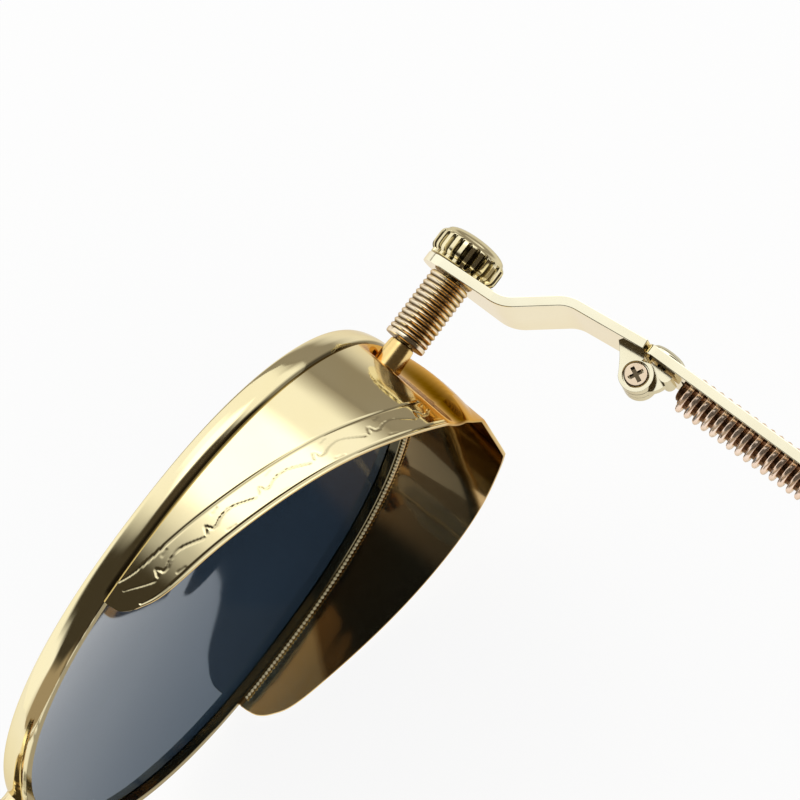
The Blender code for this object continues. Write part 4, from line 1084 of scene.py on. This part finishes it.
dress_pair(seat(bar, temple_place), plated("temple gold plate", light_gold, light_deep_gold),
           "temple", "temple_bar")


# Rear hinge leaves
# One knuckle runs between the front leaf's two. Its neck ends in a round-backed tongue that is
# riveted flat to the inside of the temple bar.

leaf_hole = 0.00045
pad_face = -plate_thickness / 2 - seat_gap
# Outline of the leaf from above: distance along the bar, and inward from the bar
tongue = ((0.00045, 0.00002), (0.00056, 0.00006), (0.00090, 0.00020), (0.00130, 0.00041),
          (0.00170, 0.00065), (0.00200, 0.00078), (0.00225, 0.00083), (0.00250, 0.00078),
          (0.00270, 0.00060), (0.00280, 0.00036), (0.00282, 0.00002))
leaf_pad = slab("leaf_pad", flowing((tongue[0], *tongue, tongue[-1]), 4), -barrel_top,
                barrel_top)
seat(leaf_pad, Matrix(((1, 0, 0, 0), (0, 0, 1, 0), (0, -1, 0, pad_face), (0, 0, 0, 1))))
drill(leaf_pad, leaf_hole, moved(rivet_place, 0, 0))
neck_start = (temple_place @ Vector((0.0009, 0, pad_face - 0.00012))).to_2d()
neck_end = (temple_place @ Vector((0.0025, 0, pad_face - 0.00062))).to_2d()
ring = knuckle_ring(neck_start, neck_end, 58, 70)
neck = ([tuple(neck_start), tuple(neck_end)]
        + hollow_curve(neck_end, neck_end + Vector((-0.0009, -0.0002)), ring[0], 8) + ring
        + hollow_curve(ring[-1], Vector(ring[-1]).lerp(neck_start, 0.5), neck_start, 3))
knuckle_low = barrel_foot + knuckle_height + seat_gap
rear_leaf = slab("rear_leaf", neck, knuckle_low, knuckle_low + knuckle_height)
join_up(rear_leaf, seat(leaf_pad, temple_place))
turn_out(rear_leaf, hinge_shank + seat_gap, -overrun, barrel_height + overrun)
soften(rear_leaf, 0.00006)
dress_pair(rear_leaf, plated("rear leaf plate", light_gold, light_deep_gold, gloss=0.08,
                             edge=milled_edge),
           "temple", "hinge_leaf_rear")


# Temple rivets
# A high domed rivet holds the rear leaf to the temple bar. The dome is polished and stands on
# the bar's outer side, and its tail is closed over the leaf.

dome_radius = 0.00165
dome_height = 0.00071
rivet_radius = 0.0004
rivet_face = plate_thickness / 2 + seat_gap
rivet_tail = pad_face - 0.0007
dome_start = rivet_face + 0.00005
rivet_profile = [(rivet_radius - 0.0001, rivet_tail - 0.00001),
                 (rivet_radius, rivet_tail + 0.00008), (rivet_radius, rivet_face),
                 (dome_radius - 0.00004, rivet_face), (dome_radius, dome_start)]
for step in range(1, 15):
    lean = step / 15 * pi / 2
    rivet_profile.append((dome_radius * cos(lean) ** 0.75 + 0.000005,
                          dome_start + (dome_height - 0.00005) * sin(lean) ** 0.8))
rivet = turn_up("domed_rivet", rivet_profile, 64)
dress_pair(seat(rivet, temple_place @ moved(rivet_place, 0, 0)),
           plated("rivet gold plate", light_gold, light_deep_gold, gloss=0.09,
                  edge=(0.55, 0.52, 0.42)),
           "temple", "temple_rivet")


# Spring rods
# A plain rose gold rod runs the length of each window and carries the spring. Its ends are
# pinned in the window's end walls. It is coloured a near black brown, as painted shade seen
# between the spring's turns.

rod_radius = 0.00122
rod_neck = 0.0010
coil_inset = 0.00072
half_rod = [(rod_neck - 0.0001, seat_gap), (rod_neck, 0.0002), (rod_neck, 0.0004),
            (rod_radius, 0.0005)]
rod = turn_up("window_rod", [(radius, window_start + place) for radius, place in half_rod]
              + [(radius, window_end - place) for radius, place in half_rod[::-1]], 40)
# The rod's near black brown is painted shade for the gaps between the spring's turns
dress_pair(seat(rod, temple_place @ moved(0, 0, -coil_inset) @ turned(pi / 2, "Y")),
           plated("rod rose gold in painted shade", (0.17, 0.085, 0.045), (0.10, 0.05, 0.025), gloss=0.24),
           "temple", "spring_rod")


# Coil springs
# Each spring is wound from rose gold wire, 37 turns with open gaps, and slipped over the rod.
# Its straight ends lie along the rod against the window's walls.

coil_radius = 0.0035 / 2 - coil_wire / 2
drawn_wire = 0.00026
turn_steps = 22
turns = coil_turns + 1
coil_start = window_start + seat_gap
first_turn = coil_start + 0.0003 + coil_wire / 2
coil_points = [(coil_start, -coil_radius, -coil_inset),
               (coil_start + 0.0003, -coil_radius, -coil_inset)]
for index in range(1, turns * turn_steps):
    turn = 2 * pi * index / turn_steps + pi
    coil_points.append((first_turn + coil_pitch * index / turn_steps,
                        coil_radius * cos(turn), coil_radius * sin(turn) - coil_inset))
coil_points += [(first_turn + turns * coil_pitch, -coil_radius, -coil_inset),
                (window_end - seat_gap, -coil_radius, -coil_inset)]
coil = wire("wound_spring", coil_points, drawn_wire, 12)
dress_pair(seat(coil, temple_place),
           plated("spring rose gold", (0.98, 0.80, 0.66), (0.90, 0.64, 0.48), gloss=0.16,
                  metal=0.94),
           "temple", "coil_spring")


# Temple tips
# Each tip is a dark tortoiseshell brown plastic sleeve, pushed over the temple's tail and bent
# behind the ear. It swells to a rounded end that stands flat on the table.

tip_half = 0.00225
tip_wide = 0.00165
tip_paddle = 0.0027
tip_lip = 0.0003
tip_rise = 0.0017
tip_end = (straight + ear_radius * ear_angle
           + (arm_height - tip_rise - ear_radius * (1 - cos(ear_angle))) / sin(ear_angle))
tip_rings = 70
end_rings = 8
unit = 0.001
tip = turn_up("temple_sleeve",
              [(unit, unit * step) for step in range(tip_rings + end_rings + 1)], 40)
for corner in tip.data.vertices:
    ring = round(corner.co.z / unit)
    _, side = polar(corner)
    share = min(ring / tip_rings, 1)
    along, up, turn = temple_line(mix(tip_start, tip_end, share))
    lip = max(1 - ring / 3, 0) ** 2 * tip_lip
    rounding = max(ring - tip_rings, 0) / end_rings * radians(80)
    tall = mix(tip_half, tip_paddle, sin(min(share / 0.9, 1) * pi / 2))
    rise = (tall - lip) * cos(rounding) * sin(side)
    wide = (tip_wide - lip) * cos(rounding) * cos(side)
    reach = tip_paddle * 0.30 * sin(rounding)
    corner.co = temple_place @ Vector((along + reach * cos(turn) + rise * sin(turn),
                                       up - reach * sin(turn) + rise * cos(turn), wide))
    corner.co.z = max(corner.co.z, 0)
tortoiseshell = mottled("tortoiseshell plastic", {"Scale": 160, "Detail": 4, "Distortion": 1.4},
                        (0.44, (0.016, 0.009, 0.005)), (0.64, (0.10, 0.045, 0.015)),
                        (0.18, 0.32), {"Coat Weight": 0.4, "Coat Roughness": 0.08})
dress_pair(tip, tortoiseshell, "temple", "temple_tip")


# Nose pad arms
# Each pad arm is a gold plated wire soldered behind the rim. It loops back to a small open box
# whose two ears hold the pad's tab.

arm_wire = 0.00055
pad_pivot = (0.009, model_back + 0.0064, lens_rise - 0.0056)
pad_place = moved(*pad_pivot) @ turned(radians(24), "Z")
arm_sag = 0.0026
arm_steps = 36
box_reach = 0.0017
ear_round = 0.00105
ear_thick = 0.00045
pad_bore = 0.00045
tab_thick = 0.0012
room_half = tab_thick / 2 + seat_gap
box_half = room_half + ear_thick
pad_deep_gold = (0.88, 0.70, 0.42)
root_across, root_up = outline_place(radians(197), rim_wall / 2)
root = lens_place @ Vector((root_across, root_up, -seat_gap / 2))
behind = lens_place @ Vector((root_across, root_up, -seat_gap - 2 * arm_wire))
guide = behind + Vector((0, arm_sag, -arm_sag / 2))
lead = pad_place @ Vector((box_reach + arm_wire + arm_sag, 0, 0))
box_back = pad_place @ Vector((box_reach, 0, 0))
arm_points = [root, root.lerp(behind, 0.3), root.lerp(behind, 0.6), behind]
arm_swell = [1.7, 1.25, 1.05, 1.0]
for index in range(1, arm_steps + 1):
    share = index / arm_steps
    first = behind.lerp(guide, share)
    second = guide.lerp(lead, share)
    third = lead.lerp(box_back, share)
    arm_points.append(first.lerp(second, share).lerp(second.lerp(third, share), share))
    arm_swell.append(1.0 + 0.25 * max((share - 0.9) / 0.1, 0))
pad_arm = wire("pad_wire", arm_points, arm_wire, 16, arm_swell)
ears = round_part((0, 0), ear_round, pi / 2, 3 * pi / 2, 20)
ears += [(box_reach, -ear_round), (box_reach, ear_round)]
bracket = slab("bracket", ears, -box_half, box_half)
cut_away(bracket, brick("room", (-overrun, -overrun, -room_half),
                        (ear_round + 2 * seat_gap, overrun, room_half)))
drill(bracket, pad_bore)
soften(bracket, 0.00012)
join_up(pad_arm, seat(bracket, pad_place))
dress_pair(pad_arm, plated("pad arm plate", pale_gold, pad_deep_gold, gloss=0.10),
           "front", "pad_arm")


# Nose pad screws
# A tiny slotted screw runs through the box's ears and the pad's tab, so that the pad can rock
# a little on it.

ear_face = box_half + seat_gap
pad_screw = slotted_screw("pad_pivot_screw", 0.00035, 0.00065,
                          (-box_half, ear_face, ear_face + 0.00035), 0.0001, 0.00011,
                          (0.00014, 0.00017), 32)
dress_pair(seat(pad_screw, pad_place),
           plated("pad screw plate", pale_gold, pad_deep_gold, gloss=0.16),
           "front", "pad_screw")


# Nose pads
# Each pad is soft clear silicone, moulded as a narrow oval with a domed face, over the tab
# that turns in the arm's box.

pad_half_height = 0.0068
pad_half_depth = 0.0037
pad_thick = 0.0026
pad_standoff = 0.00135
# Each ring of the pad: its share of the thickness, and its share of the full size
pad_shape = ((0.00, 0.62), (0.00, 0.78), (0.05, 0.86), (0.13, 0.93), (0.24, 0.975), (0.38, 0.998),
             (0.50, 1.00), (0.62, 0.96), (0.72, 0.90), (0.80, 0.82), (0.87, 0.72), (0.93, 0.60),
             (0.97, 0.46), (0.99, 0.32), (1.00, 0.16))
pad = turn_up("silicone_pad", [(unit, unit * step) for step in range(len(pad_shape))], 48)
for corner in pad.data.vertices:
    depth_share, size_share = pad_shape[round(corner.co.z / unit)]
    _, side = polar(corner)
    narrow = 1 - 0.16 * sin(side)
    corner.co = (-pad_standoff - pad_thick * depth_share,
                 pad_half_depth * size_share * narrow * cos(side),
                 pad_half_height * size_share * sin(side))
face_out(pad)
tab_half = ear_round - seat_gap
tab_root = -pad_standoff - pad_thick / 3
tab_outline = round_part((0, 0), tab_half, -pi / 2, pi / 2, 20)
tab = slab("tab", tab_outline + [(tab_root, tab_half), (tab_root, -tab_half)], -tab_thick / 2,
           tab_thick / 2)
drill(tab, pad_bore)
soften(tab, 0.00008)
join_up(pad, tab)
silicone = mottled("clear silicone", {"Scale": 500}, (0, (0.86, 0.85, 0.80)),
                   (1, (0.94, 0.93, 0.90)), (0.22, 0.42),
                   {"IOR": 1.41, "Transmission Weight": 0.55})
dress_pair(seat(pad, pad_place), silicone, "nose_pad", "nose_pad")


# Camera, floor and light
# The glasses stand on a white table and are seen from above, from behind the wearer's right end.
# They are lit by a soft box and by a studio that only the polished metal shows.

right_lens = Vector((-lens_spacing / 2, model_back, lens_rise))
camera_place = right_lens + Vector((0.01313, 0.102, 0.360))
camera_data = bpy.data.cameras.new("camera")
camera_data.lens = 197.4
camera_data.clip_start = 0.01
camera = bpy.data.objects.new("camera", camera_data)
bpy.context.scene.collection.objects.link(camera)
camera_right = Vector((-0.5561, 0.8138, -0.1688)).normalized()
camera_back = Vector((0.0937, 0.2632, 0.9602)).normalized()
camera_up = camera_back.cross(camera_right).normalized()
camera_right = camera_up.cross(camera_back)
turn = Matrix((camera_right, camera_up, camera_back)).transposed().to_4x4()
camera.matrix_world = moved(*camera_place) @ turn
bpy.context.scene.camera = camera

white = (1, 1, 1, 1)


def soft_step(tree, value, low, high):
    """0 before low, 1 past high and a soft step between them."""
    return shade(tree, "MapRange", "Result", {"Value": value, "From Min": low, "From Max": high},
                 interpolation_type="SMOOTHSTEP")


bpy.ops.mesh.primitive_plane_add(size=6, location=(0, 0, 0))
floor = new_object("white_table")
table, tree, shader = new_material("white table")
tree.nodes.remove(shader)
rays = tree.nodes.new("ShaderNodeLightPath").outputs
seen = rays["Is Camera Ray"]
for ray in ("Is Glossy Ray", "Is Transmission Ray"):
    seen = shade(tree, "Math", "Value", {0: seen, 1: rays[ray]}, operation="MAXIMUM")
# The table's left edge lies in shade, which only the polished metal shows
across = shade(tree, "SeparateXYZ", "X", {"Vector": shade(tree, "TexCoord", "Object", {})})
gloom = times(tree, soft_step(tree, across, -0.085, -0.160), rays["Is Glossy Ray"])
glow = shade(tree, "Emission", "Emission",
             {"Color": mixed(tree, gloom, white, (0.22, 0.19, 0.15, 1))})
matte = shade(tree, "BsdfDiffuse", "BSDF", {"Color": (0.86, 0.86, 0.85, 1)})
feed(tree.nodes["Material Output"], {"Surface": shade(
    tree, "MixShader", "Shader", {"Fac": times(tree, seen, 0.88), 1: matte, 2: glow})})
floor.data.materials.append(table)


def compass(turn, rise):
    """Direction at a turn from +X and a rise above the horizon, in degrees."""
    turn, rise = radians(turn), radians(rise)
    return Vector((cos(rise) * cos(turn), cos(rise) * sin(turn), sin(rise)))


world = bpy.data.worlds.new("studio")
bpy.context.scene.world = world
world.use_nodes = True
tree = world.node_tree
view = shade(tree, "TexCoord", "Generated", {})
studio = (1.05, 1.05, 1.02, 1)
# Each soft round zone: its turn, its rise, its inner and outer reach in degrees, its colour
for turn, rise, inner, outer, colour in ((15, 5, 34, 50, (0.36, 0.29, 0.20, 1)),
                                         (-170, -14, 8, 28, (0.28, 0.245, 0.20, 1)),
                                         (-156, 52, 15, 26, (1.85, 1.85, 1.80, 1)),
                                         (98, 44, 42, 54, (0.06, 0.045, 0.028, 1))):
    reach = shade(tree, "VectorMath", "Value", {0: view, 1: compass(turn, rise)},
                  operation="DOT_PRODUCT")
    zone = soft_step(tree, reach, cos(radians(outer)), cos(radians(inner)))
    studio = mixed(tree, zone, studio, colour)
axes = shade(tree, "SeparateXYZ", "X", {"Vector": view}).node.outputs
zone = times(tree, soft_step(tree, axes["X"], -0.18, 0.10), soft_step(tree, axes["Z"], 0.50, 0.66))
studio = mixed(tree, zone, studio, (0.048, 0.039, 0.026, 1))
rays = tree.nodes.new("ShaderNodeLightPath").outputs
feed(tree.nodes["Background"], {
    "Color": mixed(tree, rays["Is Glossy Ray"], white, studio),
    "Strength": shade(tree, "MapRange", "Result",
                      {"Value": rays["Is Diffuse Ray"], "To Min": 1.0, "To Max": 0.85})})

lamp_data = bpy.data.lights.new("softbox", "AREA")
lamp_data.energy = 1.5
lamp_data.size = 0.5
lamp = bpy.data.objects.new("softbox", lamp_data)
bpy.context.scene.collection.objects.link(lamp)
lamp.visible_glossy = False
lamp_place = compass(-120, 50) * 0.85
lamp.matrix_world = moved(*lamp_place) @ lamp_place.to_track_quat("Z", "Y").to_matrix().to_4x4()

bpy.context.scene.view_settings.view_transform = "Standard"

low, high = cad_box
